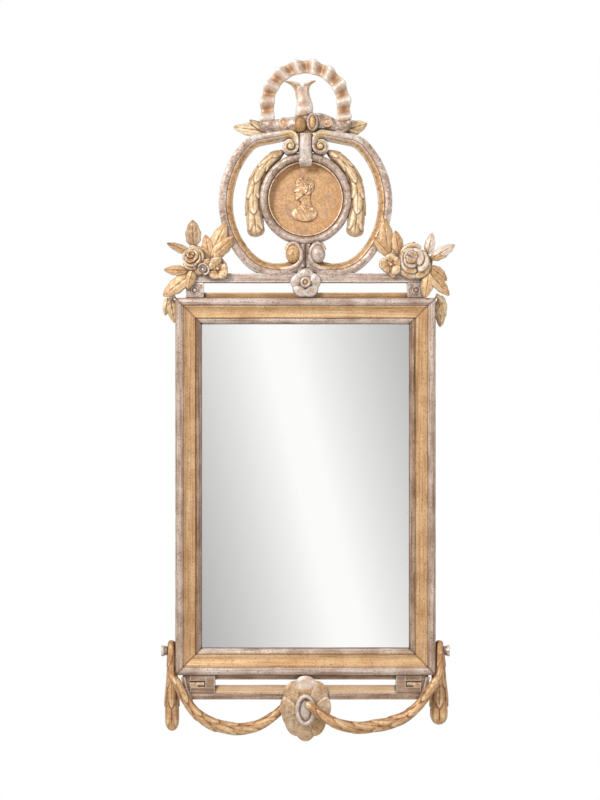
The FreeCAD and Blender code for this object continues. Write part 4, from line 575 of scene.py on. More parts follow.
def ring_zone(x, depth, z, normal):
    if normal.y > 0.6:
        return 2
    return 1 if hypot(x, z - MEDALLION) < 65.2 else 0


seat(bm, "medallion_ring", [carved_silver, carved_gold, pine_upright], ring_zone)

rubbed_ochre, tree, shader, place = fresh("rubbed_gilding_on_ochre")
# Mauve stains some 16 mm wide over a ground that is flecked every 3 mm.
stain = add(tree, "TexNoise", {"Vector": place, "Scale": 1000 / 16, "Detail": 5.0, "Roughness": 0.6})[0]
stain = add(tree, "MapRange", {"Value": stain, "From Min": 0.53, "From Max": 0.66, "To Max": 0.6})[0]
fleck = add(tree, "TexNoise", {"Vector": place, "Scale": 1000 / 3, "Detail": 4.0})[0]
tone = add(tree, "MapRange", {"Value": fleck, "From Min": 0.35, "From Max": 0.68})[0]
colour = add(tree, "Mix", {0: tone, 6: tint("#DDB383"), 7: tint("#B98753")}, data_type="RGBA")[2]
colour = add(tree, "Mix", {0: stain, 6: colour, 7: tint("#A58079")}, data_type="RGBA")[2]
bump = add(tree, "Bump", {"Height": fleck, "Strength": 0.4, "Distance": 0.0006})[0]
wire(tree, shader, {"Base Color": colour, "Normal": bump, "Roughness": 0.55})
bm = bmesh.new()
lathe(bm, 0, MEDALLION, [
    (0, 12.3), (40, 12.3), (68.8, 12.3), (68.8, 19.9), (60, 20.0), (48, 19.8), (36, 19.7), (24, 19.7),
    (12, 19.7), (0, 19.7),
], 96)


def bare_back(x, depth, z, normal):
    return int(normal.y > 0.6)


seat(bm, "medallion_panel", [rubbed_ochre, pine_across], bare_back)

# Head on the medallion: a plain classical head in low relief, looking left, with cropped curls and a cloak
# gathered on the shoulder. It is carved from one thin board, glued to the panel and gilt.
# The two edges from the cut of the bust up to the crown, in shares of the head's height from the chin.
face_edge = course([
    (0.02, -0.85), (-0.26, -0.80), (-0.46, -0.67), (-0.52, -0.52), (-0.45, -0.38), (-0.29, -0.26),
    (-0.18, -0.18), (-0.14, -0.12), (-0.14, -0.07), (-0.17, -0.025), (-0.26, 0.01), (-0.33, 0.055),
    (-0.35, 0.12),
    (-0.325, 0.185), (-0.362, 0.228), (-0.345, 0.258), (-0.372, 0.285), (-0.35, 0.315), (-0.345, 0.345),
    (-0.405, 0.365), (-0.425, 0.395), (-0.365, 0.49), (-0.325, 0.565), (-0.345, 0.62), (-0.335, 0.68),
    (-0.325, 0.76), (-0.295, 0.85), (-0.22, 0.93), (-0.10, 0.985), (0.06, 1.0),
], 290)
nape_edge = course([
    (0.02, -0.85), (0.36, -0.80), (0.53, -0.67), (0.58, -0.52), (0.53, -0.37), (0.43, -0.24), (0.35, -0.14),
    (0.32, -0.03), (0.31, 0.08), (0.31, 0.20), (0.335, 0.30), (0.385, 0.40), (0.435, 0.52), (0.455, 0.64),
    (0.435, 0.77), (0.36, 0.89), (0.22, 0.975), (0.06, 1.0),
], 170)
# Height of the head, height of its chin, and how far it stands off the middle, in millimetres.
HEAD, CHIN, OFF = 41.5, 487.5, -3.5
# Swells and hollows of the modelling: place, half sizes, lean and rise in millimetres.
swells = (
    (-0.27, 0.61, 0.10, 0.035, -6, 0.9), (-0.25, 0.545, 0.085, 0.05, 0, -1.3),
    (-0.255, 0.54, 0.05, 0.026, 4, 0.9), (-0.16, 0.42, 0.11, 0.10, 20, 0.8),
    (-0.34, 0.385, 0.045, 0.04, 0, 0.8), (-0.29, 0.255, 0.09, 0.012, 4, -0.7),
    (-0.20, 0.27, 0.05, 0.09, 12, -0.5), (-0.29, 0.11, 0.09, 0.07, 0, 0.8),
    (-0.06, 0.16, 0.16, 0.05, -36, 0.8), (0.085, 0.46, 0.055, 0.10, -10, 1.6),
    (0.085, 0.46, 0.025, 0.06, -10, -1.2), (0.0, -0.10, 0.035, 0.2, 24, 0.7),
    (0.10, -0.25, 0.32, 0.035, -10, 1.2), (0.36, -0.36, 0.07, 0.07, 0, 1.3),
)


def slab(bm, along, around, place):
    """A flattened form. Place gives the point at a share along, a reach across from -1 to 1, and a face."""
    skin(bm, along, around, lambda u, v: place(u, 4 * v - 1 if v <= 0.5 else 3 - 4 * v, v <= 0.5))


def ease(low, high, value):
    """A soft step from 0 to 1 between two values."""
    share = min(1, max(0, (value - low) / (high - low)))
    return share * share * (3 - 2 * share)


def relief_place(u, across, front):
    z = 0.075 + 0.9249 * sin(pi * (u - 0.5))
    low = np.interp(z, [spot[1] for spot in face_edge], [spot[0] for spot in face_edge])
    high = np.interp(z, [spot[1] for spot in nape_edge], [spot[0] for spot in nape_edge])
    x = low + (high - low) * (across + 1) / 2
    depth = 19.6
    if front:
        rise = 5.4 * sqrt(1 - across ** 4) * min(1, (high - low) / 0.3) ** 0.5
        for mid_x, mid_z, half_x, half_z, lean, lift in swells:
            sine, cosine = sin(radians(lean)), cos(radians(lean))
            off_x, off_z = x - mid_x, z - mid_z
            off_x, off_z = cosine * off_x + sine * off_z, cosine * off_z - sine * off_x
            rise += lift * exp(-(off_x / half_x) ** 2 - (off_z / half_z) ** 2)
        jaw = 0.01 + 0.78 * max(0, x + 0.30)
        rise -= 1.5 * ease(0.03, -0.03, z - jaw) * ease(-0.34, -0.2, z)
        hair = ((x + 0.22) / 0.29) ** 2 + ((z - 0.40) / 0.44) ** 2
        ear = exp(-((x - 0.085) / 0.07) ** 2 - ((z - 0.46) / 0.11) ** 2)
        hair = ease(0.98, 1.1, hair) * ease(0.2, 0.28, z) * (1 - ear)
        turn, away = atan2(z - 0.78, x - 0.2), hypot(x - 0.2, z - 0.78)
        rise += hair * (1.0 + 0.45 * sin(15 * turn + 11 * away) + 0.2 * sin(30 * away + 4 * turn))
        cloak = ease(-0.24, -0.3, z)
        fold = x + 0.62 * z
        hem = 0.7 * exp(-((fold + 0.22) / 0.03) ** 2)
        rise += cloak * (0.28 * sin(30 * fold) * ease(-0.22, -0.30, fold) + hem)
        depth = 19.8 + max(0, rise) * min(1, (1 - abs(across)) / 0.03)
    return at(OFF + x * HEAD, depth, CHIN + z * HEAD)


bm = bmesh.new()
slab(bm, 170, 96, relief_place)
# The head's foot by the panel is painted dark as the shadow round the relief.
seat(bm, "portrait_relief", [carved_gold], None, 70, 0.6, 1.4, 20.9)

# Strap: a flat silvered band that ties the medallion to the bow. It is bent over the ring's face, glued
# there, and ends in a rounded lip.
strap = outline([
    (-12.6, 0), (-12.6, 0.5), (-10.2, 0.56), (-10.2, 0.80), (-8.2, 0.93), (-4.5, 1.0), (4.5, 1.0),
    (8.2, 0.93), (10.2, 0.80), (10.2, 0.56), (12.6, 0.5), (12.6, 0),
], 0.5, 0.9)


def strap_spot(u, x, share):
    z = 600.0 - 55.5 * u
    back = BACK if z > 556 else 38.5
    front = 45 + 5.0 * sin(pi * min(1, 0.1 + u * 0.95)) - 6.0 * max(0, (u - 0.86) / 0.14) ** 2
    if z < 572:
        x = min(10.2, max(-10.2, x))
    return at(1.1 * x * (1 - 0.16 * max(0, (u - 0.8) / 0.2) ** 2), back + (front - back) * share, z)


bm = bmesh.new()
sweep(bm, 40, strap, strap_spot)
seat(bm, "medallion_strap", [bright_silver, pine_upright], bare_back, 50, 1.2)

# Garlands round the medallion: laurel leaves bound in rows on a string, each row lapping the next, carved in
# pine and gilt. They lie against the ring, then hang free and end in blunt leaf tips.


def laurel(length, turn, pitch, blade, number, twist=0.0):
    """Height of lapped laurel leaves on a rod, from 0 in the gaps to 1 at a leaf's lifted tip."""
    best = 0
    row = int(length // pitch)
    for count in range(row, row - int(blade // pitch) - 2, -1):
        share = (length - count * pitch) / blade
        if not 0 <= share <= 1:
            continue
        across = (turn / tau * number + 0.5 * (count % 2) + twist * length) % 1 - 0.5
        half = 0.56 if share < 0.4 else 0.56 * (1 - ((share - 0.4) / 0.6) ** 2.2) ** 0.75
        side = abs(across) / max(half, 0.001)
        if side < 1:
            rise = (0.25 + 0.75 * share) * (1 - 0.55 * side ** 2) - 0.16 * exp(-(across / 0.055) ** 2)
            best = max(best, rise)
    return best


def blunt(share, start, length, least):
    """Share of its radius that a rod keeps where it rounds off to its end."""
    return max(sqrt(max(0, 1 - max(0, (share - start) / length) ** 2)), least)


# Radius of the line on which the garlands lie round the medallion.
BEND = 89.5
for node, side in (("garland_left", -1), ("garland_right", 1)):
    points = []
    for step in range(5):
        angle = radians(25 + 72 * step / 4)
        points.append((side * BEND * sin(angle), 27, MEDALLION + BEND * cos(angle)))
    end_x, _, end_z = points[-1]
    points += [(end_x - side * 5.5 * share, 27, end_z - 54 * share) for share in (0.33, 0.67, 1)]

    def reach(share, length, turn):
        thick = 10.4 + 5.8 * min(1, share / 0.75) ** 1.2 - 6.5 * max(0, 1 - share / 0.12) ** 2
        return thick * (0.76 + 0.34 * laurel(length, turn, 27, 48, 4)) * blunt(share, 0.90, 0.10, 0.12)

    bm = bmesh.new()
    rod(bm, course(points, 130), 54, reach, hold=lambda p: Vector((p.x, max(p.y, 15.8), p.z)))
    seat(bm, node, [cream_gold], None, 50, 0.7)

# Bow: a ribbon crimped in deep waves stands in an arch over the scrolls, and its feet run into a bundle of
# folds and a knot. It is carved from one board; the ridges keep their silver and the hollows show gold.
crimped = leafed("silvered_ribbon_over_gold", "#DCC7B6", "#CDAF97", "#94694A", "#F6EFE7", 0.28, None, 0.4)
ribbon_gold = leafed("gold_in_ribbon_hollows", "#D6B28E", "#C39A74", "#84583A", "#ECD6B8", 0.25, None, 0.5)
# Radius of the arch, length of its straight feet and height of their ends, half width of the ribbon, number
# of its waves, and how far a wave leans across it.
ARCH, LEG, ARCH_FOOT, RIBBON, WAVES, LEAN = 65.1, 50.0, 600.2, 12.1, 11, 0.45
ARCH_SPRING = ARCH_FOOT + LEG
arch_long = LEG + LEG + pi * ARCH


def arch_spot(length):
    """Middle of the ribbon at a length from its left foot, and the way outwards."""
    if length < LEG or length > arch_long - LEG:
        side = -1 if length < LEG else 1
        up = min(length, arch_long - length)
        tuck = 15 * max(0, 1 - up / 22) ** 2
        return side * (ARCH - tuck), ARCH_FOOT + up, side, 0.0
    angle = (length - LEG) / ARCH
    return -ARCH * cos(angle), ARCH_SPRING + ARCH * sin(angle), -cos(angle), sin(angle)


def arch_place(u, across, front):
    x, z, out_x, out_z = arch_spot(arch_long * u)
    wave = cos(tau * WAVES * u + LEAN * across)
    fade = min(1, u * 14, (1 - u) * 14)
    reach = across * RIBBON + (1.5 * wave * fade if across > 0 else -0.8 * wave * fade) * abs(across)
    depth = 32.5 + wave * fade * (3.8 + 1.0 * across)
    lip = min(1, (1 - abs(across)) / 0.16)
    depth += (3.4 if front else -3.0) * lip
    return at(x + out_x * reach, depth, z + out_z * reach)


bm = bmesh.new()
slab(bm, 308, 28, arch_place)


def ribbon_zone(x, depth, z, normal):
    up = z - ARCH_SPRING
    length = z - ARCH_FOOT if up < 0 else LEG + ARCH * atan2(up, -x)
    if up < 0 and x > 0:
        length = arch_long - length
    across = (hypot(x, max(0, up)) - ARCH) / RIBBON
    return int(cos(tau * WAVES * length / arch_long + LEAN * across) < -0.25 and z > 612)


seat(bm, "ribbon_arch", [crimped, ribbon_gold], ribbon_zone, 60, 2.4, 5.0)


def strip(bm, one_edge, other_edge, thick, bow, steps, around=20, wave=0.0, folds=0.0):
    """A band of ribbon between two edges of x, depth and height, bowed forward across and folded along."""
    one, other = course(one_edge, steps), course(other_edge, steps)

    def place(u, across, front):
        step = round(u * steps)
        spot = one[step].lerp(other[step], (across + 1) / 2)
        lift = 0
        if front:
            lift = bow * (1 - across ** 2) + wave * cos(tau * folds * u + 0.8 * across)
            lift = (lift + thick) * min(1, (1 - abs(across)) / 0.2)
        return at(spot.x, spot.y + lift, spot.z)

    slab(bm, steps, around, place)


bm = bmesh.new()
strip(bm,
      [(-78, 22, 612), (-66, 24, 603), (-42, 26, 601), (-16, 28, 601), (6, 28, 601), (28, 27, 607),
       (46, 25, 604), (66, 24, 602), (77, 22, 611)],
      [(-78, 22, 629), (-62, 24, 626), (-42, 26, 627), (-20, 28, 631), (4, 28, 634), (24, 28, 637),
       (42, 25, 632), (56, 24, 626), (77, 22, 629)],
      9, 7, 130, 40, 1.1, 8)
for x, z, size in ((-36.5, 617.5, 10.4), (37, 619.5, 9.2)):
    lathe(bm, x, z, [
        (0, 30), (size, 30), (size, 39.5), (size - 0.6, 41.6), (size - 1.8, 42.4), (size - 3.2, 41.8),
        (size - 4.6, 40.6), (3, 41.4), (0, 42.2),
    ], 40)


def band_zone(x, depth, z, normal):
    return 1 if hypot(abs(x) - 36.7, z - 618.5) < 8 and depth > 39.8 else 0


seat(bm, "laurel_band", [carved_silver, ribbon_gold], band_zone, 60, 1.6)


def oval_ring(bm, x, z, depth, half_x, half_z, thick, rise):
    """A raised oval band facing forward."""
    spots = []
    for step in range(49):
        angle = tau * step / 48
        spots.append(Vector((x + half_x * sin(angle), depth, z + half_z * cos(angle))))
    rod(bm, spots, 14, lambda u, length, turn: thick * (1 + (rise / thick - 1) * abs(cos(turn)) ** 1.5))


# Middle of the loop beside the knot.
LOOP_X, LOOP_Z = 11.8, 618.8
bm = bmesh.new()
lathe(bm, -8.6, 614.5, [
    (0, 32), (11.4, 32), (11.8, 40), (11.0, 43.5), (8.8, 46.4), (5.0, 48.2), (0, 48.8),
], 44, 1.18)
lathe(bm, LOOP_X, LOOP_Z, [(0, 32), (5.6, 32), (5.8, 46), (5.2, 49.2), (3.4, 51.4), (0, 52.4)], 36, 2.1)
oval_ring(bm, LOOP_X, LOOP_Z, 44.5, 7.4, 13.0, 2.4, 4.6)
for x in (-4.0, 1.5, 7.0, 12.5):
    spots = course([(x, 38, 606), (x - 0.4 * (x - 5), 40, 601), (x - 0.7 * (x - 5), 37, 595)], 12)
    rod(bm, spots, 12, tapering(3.4, 1.4))


def knot_zone(x, depth, z, normal):
    loop = hypot((x - LOOP_X) / 5.6, (z - LOOP_Z) / 11.6) < 1
    return 2 if loop and depth > 44 else int(x < 2.4 or z < 606)


seat(bm, "ribbon_knot", [carved_silver, brown_gold, carved_gold], knot_zone, 60, 2.4)

bm = bmesh.new()
strip(bm,
      [(-17.5, 28, 622), (-17.2, 36, 640), (-15.5, 30, 655), (-16.4, 29, 668), (-17, 32, 681)],
      [(9.5, 28, 622), (13.4, 36, 642), (11.0, 30, 656), (6.4, 29, 669), (6, 32, 681)],
      4.5, 4.0, 48, 30)
strip(bm,
      [(-17.0, 26, 664), (-18.6, 29, 675), (-25, 34, 683), (-35, 38, 688.2)],
      [(-4.0, 29, 668), (-6.2, 31, 680), (-14, 36, 688.6), (-35, 37.5, 689.6)],
      4.0, 2.2, 40)
strip(bm,
      [(-6.0, 29, 668), (-4.6, 31, 680), (1, 36, 689), (17.8, 37, 690.2)],
      [(8.2, 26, 664), (6.4, 29, 675), (9, 34, 683), (17.8, 37.5, 689.2)],
      4.0, 2.2, 40)
seat(bm, "ribbon_tail", [crimped, ribbon_gold],
     lambda x, d, z, n: int(z < 632 or (z > 660 and n.y > -0.86)), 60, 1.6, 5.0)


# Lift of a leaf's tip in millimetres, and number of its side veins.
TIP_LIFT, VEINS = 2.5, 4


def leaf(bm, x, depth, z, turn, length, width, thick):
    """A carved leaf, flat behind, with a cut midrib and side veins. Turns run from upright to the left."""
    sine, cosine = sin(radians(turn)), cos(radians(turn))
    roll = 0.07 * width * (1 if round(turn) % 2 else -1)

    def place(u, across, front):
        blade = max(sin(pi * u ** 0.8) ** 0.62 if 0 < u < 1 else 0, 0.16 * (1 - u))
        half = width / 2 * blade * (1 + 0.05 * sin(tau * 3.4 * u + turn))
        reach = u * length
        rise = TIP_LIFT * u ** 2 - 0.05 * width * across ** 2 + roll * across
        if front:
            side = 1 - abs(across)
            wall = min(1, side / 0.16)
            crown = 0.55 + 0.45 * side ** 0.7 - 0.24 * exp(-(across / 0.07) ** 2)
            vein = 0.03 * sin(tau * (VEINS * u - 1.4 * abs(across))) * min(1, 3 * side)
            rise += thick * wall * (crown + vein) * (0.55 + 0.45 * sin(pi * min(1, u + 0.12)))
        return at(x - sine * reach + cosine * across * half, depth + rise,
                  z + cosine * reach + sine * across * half)

    slab(bm, max(18, round(length / 1.4)), 24, place)


for node, x, leaves in (("laurel_tip_left", -64, ((82, 60, 25), (58, 38, 15))),
                        ("laurel_tip_right", 62, ((-72, 46, 26), (-96, 30, 14)))):
    bm = bmesh.new()
    for count, (turn, length, width) in enumerate(leaves):
        leaf(bm, x, 16 + 2.2 * count, 606, turn, length, width, 7)
    seat(bm, node, [cream_gold], None, 50, 1.1)

# Flower sprays on the ends of the crest rail: leaves, roses and open flowers carved in lime, glued to a
# ground on the rail's face and gilt, with silver left on the petals that catch the hand. A drop of two leaves
# hangs from each on the side of the stile.
leaf_gold = leafed("matt_gold_leaf_on_foliage", "#D9B083", "#C29664", "#6E4426", "#E8D0AB", 0.24, None, 0.5)
dull_gold = leafed("gold_leaf_dulled_with_dust", "#B99876", "#A07D5A", "#6B482C", "#DCC3A0", 0.2)
# End of the rail, width and height of a spray, and full length and width of a leaf, in millimetres.
SPRAY_X, SPRAY_Z, SPREAD, RISE, LEAF_LONG, LEAF_WIDE = 203.6, 363, 72, 60, 50, 25
# Leaves by place in shares of the spray, turn, and shares of the full length and width.
left_leaves = (
    (0.19, 0.74, 3, 0.92, 1.10), (0.12, 0.57, 68, 0.88, 0.62), (0.55, 0.46, 9, 0.76, 0.80),
    (0.64, 0.62, -25, 1.05, 1.05), (0.62, 0.45, -48, 1.01, 1.00), (0.04, 0.06, 88, 0.80, 0.75),
    (0.10, -0.07, 128, 1.16, 1.10), (0.18, 0.10, 165, 0.70, 0.70),
)
right_leaves = (
    (-0.88, 0.53, 6, 1.24, 1.05), (-0.62, 0.51, 8, 0.84, 0.85), (-0.81, 0.48, 42, 0.87, 0.85),
    (0.06, 0.53, -11, 0.74, 0.72), (0.13, 0.39, -59, 0.95, 0.85), (0.12, 0.18, -131, 0.74, 0.85),
    (0.10, 0.06, 170, 0.94, 0.90), (0.08, 0.02, -139, 1.06, 0.90),
)
left_ground = ((0.02, -0.06), (0.86, -0.02), (0.98, 0.24), (0.74, 0.62), (0.12, 0.82), (-0.02, 0.5))
right_ground = ((0.14, -0.04), (0.18, 0.4), (-0.06, 0.66), (-0.84, 0.6), (-1.0, 0.26), (-0.86, 0.08))


def on_spray(side, x, z):
    """A place in millimetres, from shares of a spray's width and height."""
    return side * SPRAY_X + x * SPREAD, SPRAY_Z + z * RISE


for node, side, ground, leaves in (("spray_foliage_left", -1, left_ground, left_leaves),
                                   ("spray_foliage_right", 1, right_ground, right_leaves)):
    bm = bmesh.new()
    corners = [on_spray(side, x, z) for x, z in ground]
    board = bm.faces.new([bm.verts.new(at(x, 38.2, z)) for x, z in corners])
    grown = bmesh.ops.extrude_face_region(bm, geom=[board])["geom"]
    top = [part for part in grown if isinstance(part, bmesh.types.BMVert)]
    bmesh.ops.translate(bm, verts=top, vec=at(0, 6.5, 0))
    bmesh.ops.bevel(
        bm, geom=bm.edges[:], offset=0.003, affect="EDGES", segments=3, profile=0.5, material=-1,
    )
    bmesh.ops.subdivide_edges(bm, edges=bm.edges[:], cuts=3, use_grid_fill=True)
    # A bevel leaves its points in no fixed order and with a stray last digit. The joining of close points
    # goes by both, so the points are rounded to a micrometre and put in order.
    for vert in bm.verts:
        vert.co = [round(part, 6) for part in vert.co]
    bm.verts.sort(key=lambda vert: vert.co.x + 3 * vert.co.y + 9 * vert.co.z)
    for count, (x, z, turn, length, width) in enumerate(leaves):
        x, z = on_spray(side, x, z)
        leaf(bm, x, 38.4 + 0.7 * count, z, turn, length * LEAF_LONG, width * LEAF_WIDE, 7.5)
    # Small leaves fill the ground between the heads, each some way in from a corner.
    for count in range(9):
        x, z = ground[count % 6]
        nearer = 0.35 + 0.2 * (count % 2)
        x, z = on_spray(side, x + (-0.45 * side - x) * nearer, z + (0.2 - z) * nearer)
        leaf(bm, x, 43.5, z, 47 * count, 24, 15, 5)

    def spray_zone(x, depth, z, normal):
        if normal.y > 0.8 and depth < 39:
            return 1
        return 2 if x > 204 and z > 393 or (x < -182 and z > 408) else 0

    pale = crimped if side > 0 else dull_gold
    seat(bm, node, [leaf_gold, pine_across, pale], spray_zone, 50, 1.4)


def petal(bm, x, z, turn, spread, inner, outer, low, high, thick, wide=1.0, tall=1.0, taper=0.0, flare=0.0):
    """A petal of a head that faces forward, from an inner to an outer radius and a low to a high depth."""
    def place(u, across, front):
        swell = 0.45 + 0.55 * sin(pi * (0.08 + 0.62 * u)) ** 0.9
        angle = radians(turn + across * spread * swell)
        radius = inner + (outer - inner) * u * (1 - 0.16 * across ** 2 * u)
        depth = low + (high - low) * sin(pi / 2 * u) - flare * u ** 3 - 0.12 * thick * across ** 2
        side = 1 - abs(across)
        if front:
            tip = min(1, (1 - u) / 0.12)
            depth += thick * min(1, side / 0.18) * (0.6 + 0.4 * side) * (0.25 + 0.75 * tip)
            depth -= 0.16 * thick * exp(-(across / 0.16) ** 2) * sin(pi * u)
        narrow = 1 - taper * (1 - cos(angle)) / 2
        return at(x - wide * narrow * radius * sin(angle), depth, z + tall * radius * cos(angle))

    slab(bm, 16, 24, place)


# Heads of each kind: height and half width of the heart, drift of the rows, and rows of petals by number,
# inner and outer share of the size, low and high depth, spread and flare.
kinds = {
    "rose": (61.5, 0.25, 0.09, (
        (5, 0.34, 1.0, 45, 50, 44, 3), (4, 0.24, 0.82, 48, 56.5, 52, 1.5), (3, 0.10, 0.60, 53, 60.5, 66, 1.5),
        (2, 0.02, 0.36, 58, 62.5, 78, 2))),
    "flower": (56, 0.15, 0.05, ((5, 0.14, 1.0, 46, 52, 40, 3),)),
    "bud": (62, 0.32, 0.05, ((3, 0.10, 1.0, 47, 57, 66, 0), (2, 0.06, 0.55, 49, 62, 96, 0))),
}
for kind, ending, side, x, z, size in (
        ("rose", "_left", -1, 0.17, 0.42, 20), ("flower", "_left", -1, 0.76, 0.11, 19),
        ("bud", "_left", -1, 0.42, 0.08, 10.5), ("rose", "_right", 1, -0.27, 0.31, 30),
        ("flower", "_right", 1, -0.82, 0.225, 19)):
    bm = bmesh.new()
    x, z = on_spray(side, x, z)
    top, heart, lean, rows = kinds[kind]
    heart = size * heart
    for row, (number, inner, outer, low, high, spread, flare) in enumerate(rows):
        drift = lean * size * row
        for count in range(number):
            stray = sin(2.3 * count + 1.7 * row + x)
            petal(bm, x - 0.6 * drift, z + 0.8 * drift,
                  360 / number * (count + 0.5 * row) + 17 * row + 16 * stray, spread, inner * size,
                  outer * size * (1 + 0.10 * stray), low + 0.8 * (count % 2), high + 1.2 * stray,
                  4.2 if size > 15 else 3.0, flare=flare)
    if kind == "rose":
        lathe(bm, x - 0.1 * size, z + 0.13 * size, [
            (0, 46), (size * 0.66, 46), (size * 0.56, 51), (size * 0.42, 56), (heart, 59), (heart * 0.5, 61),
            (0, top),
        ], 24)
    else:
        lathe(bm, x, z, [
            (0, 46), (size * 0.62, 46), (size * 0.45, 49), (heart, 52), (heart, top - 3),
            (heart * 0.8, top - 1), (heart * 0.4, top), (0, top),
        ], 24)

    def head_zone(x, depth, z, normal):
        rubbed = size > 25 and depth > 54 and noise.noise((x * 0.09, z * 0.13, 3)) > -0.1
        return int(kind == "bud" or rubbed)

    seat(bm, kind + ending, [carved_gold, crimped], head_zone, 60, 1.0)

# Full length and width of a leaf of the side drops.
DROP_LONG, DROP_WIDE = 54, 22
for node, edge, leaves in (
        ("side_drop_left", -HALF_WIDE, ((-0.25, 0.02, 171, 0.58, 0.66), (-0.16, -0.02, -170, 0.78, 0.95))),
        ("side_drop_right", HALF_WIDE, ((0.21, 0.08, 177, 1.0, 1.0), (0.15, 0.04, -166, 0.62, 0.7)))):
    bm = bmesh.new()
    for count, (x, z, turn, length, width) in enumerate(leaves):
        leaf(bm, edge + x * DROP_LONG, 20.3 + 2.5 * count, HALF_HIGH + z * DROP_LONG, turn,
             length * DROP_LONG, width * DROP_WIDE, 7)
    side = copysign(1, edge)
    twig = course([(edge + side * 1.0, 26, 325), (edge + side * 7, 27, 322), (edge + side * 12, 26, 312)], 14)
    rod(bm, twig, 12, tapering(4.6, 1.5))
    seat(bm, node, [cream_gold], None, 50, 1.6)

# Rosette over the middle of the crest rail: round petals about a turned button with a small eye in its dish,
# carved in one and silvered, with the gilding left on the eye.
ROSETTE = 346.8
bm = bmesh.new()
for count in range(5):
    petal(bm, 0, 345.2, 72 * count, 40, 4, 27, 42.5 + 0.7 * (count % 2), 45.5, 6.0, flare=4.0, tall=0.94)
lathe(bm, 0, ROSETTE, [(0, 38.2), (22, 38.2), (22, 41), (12, 44), (0, 45)], 36)
lathe(bm, 0, ROSETTE, [
    (0, 44), (9.4, 44), (9.6, 49), (8.6, 52), (6.6, 53), (4.8, 52.0), (3.9, 50.4), (2.4, 50.6), (0, 51.2),
], 36)
seat(bm, "crest_rosette", [bright_silver, carved_gold],
     lambda x, d, z, n: int(d > 50 and hypot(x, z - ROSETTE) < 5), 50, 1.2)

# Rails and fretted blocks of the apron: a low rail under the frame, a lower rail with a gilt bevel over a
# silvered face, turned up at its ends, and a block at each end carved with a squared hook on a gilt ground.
brown_silver = leafed("silver_leaf_gone_brown", "#B4957D", "#927057", "#553723", "#E2D3C4", 0.28, "X", 0.75)
# Painted highlight: the gold of the apron rail's bevel is toned lighter for the light that falls on its
# upward slope.
lit_bevel_gold = leafed("gold_leaf_painted_lit_on_bevel", "#EBCBA2", "#DDB688", "#8E6038", "#F8EBD6", 0.25, "X", 0.5)
bm = bmesh.new()
plank(bm, -153.8, 153.8, BACK, 30, -330.0, -321.2, 1.2, 130)
seat(bm, "apron_base_rail", [brown_silver, ochre_wash, pine_across], back_zone)

bm = bmesh.new()
lower = outline([(BACK, -363.0), (36, -363.0), (36.6, -357), (36, -351.2), (BACK, -351.2)], 1.2, 2.0)
bar(bm, -209.4, 209.4, lower, 150)
bevel = outline([(12.3, -351.4), (36, -351.4), (35.4, -350), (26.6, -341.4), (12.3, -341.4)], 0.9, 2.0)
bar(bm, -153.9, 153.9, bevel, 120)
for side in (-1, 1):
    low, high = sorted((side * 197.2, side * 209.4))
    plank(bm, low, high, 12.3, 36, -351.5, -321.4, 1.4, 7)
    strip(bm,
          [(side * 212, 35, -325), (side * 208, 35.5, -345), (side * 200, 36, -364), (side * 186, 36, -384)],
          [(side * 204, 35, -325), (side * 200, 35.5, -343), (side * 193, 36, -360), (side * 185, 36, -383)],
          3.5, 1.0, 30, 14)


def apron_zone(x, depth, z, normal):
    if normal.y > 0.6:
        return 3
    if normal.z < -0.7:
        return 2
    return 1 if z > -350.8 and abs(x) < 154.2 else 0


seat(bm, "apron_rail", [brown_silver, lit_bevel_gold, ochre_wash, pine_across], apron_zone)

for node, side in (("fret_block_left", -1), ("fret_block_right", 1)):
    bm = bmesh.new()
    low, high = sorted((side * 154.2, side * 197.0))
    plank(bm, low, high, 12.3, 35.2, -351.0, -321.3, 0.6, 22)
    hook = (
        (154.4, 196.8, -331.0, -321.5), (154.6, 170.2, -350.6, -321.9), (154.5, 196.6, -350.8, -341.2),
        (172.8, 184.4, -338.5, -333.6), (184.0, 196.7, -341.7, -333.7),
    )
    for count, (first, last, foot, head) in enumerate(hook):
        low, high = sorted((side * first, side * last))
        front = 37.7 + 0.07 * count
        plank(bm, low, high, 34, front, foot, head, 1.0, max(4, round((last - first) / 2.2)), 1.6)

    def fret_zone(x, depth, z, normal):
        if normal.y > 0.6:
            return 2
        return 1 if 172 < abs(x) < 196.6 and -340.9 < z < -333.0 and depth > 34 else 0

    seat(bm, node, [brown_silver, carved_gold, pine_across], fret_zone)

# Patera at the middle of the apron: an oval of broad petals round a raised oval eye, carved from one block
# and dowelled to the rail. It is gilt, with its topmost petal and its eye rubbed to silver.
PATERA = -377.1
bm = bmesh.new()
lathe(bm, 0, PATERA, [
    (0, 36.2), (40, 36.2), (42, 37), (40, 38.4), (34, 40.5), (24, 44.6), (14, 47.5), (0, 48),
], 60, 112 / 95)
for count in range(8):
    lift = 1.4 * (count % 2 == 0)
    petal(bm, 0, PATERA, 45 * count, 29, 0.30, 1.0, 48.2 + lift, 40.6 + lift, 3.6, 47.2, 55.8, 0.16)
rubbed_patera = leafed("rubbed_silver_over_gold", "#CFB497", "#BA9469", "#704A2C", "#F0E6DA", 0.30)
seat(bm, "patera", [rubbed_patera, crimped],
     lambda x, d, z, n: int(abs(x) < 17 and z > PATERA + 34), 50, 2.2)
bm = bmesh.new()
oval_ring(bm, 0, PATERA, 55.5, 14, 23, 3.6, 6.0)
lathe(bm, 0, PATERA, [(0, 50), (12.5, 50), (12.5, 55), (7, 57), (0, 57.6)], 36, 1.72)
seat(bm, "patera_eye", [bright_silver], None, 50, 2.2)

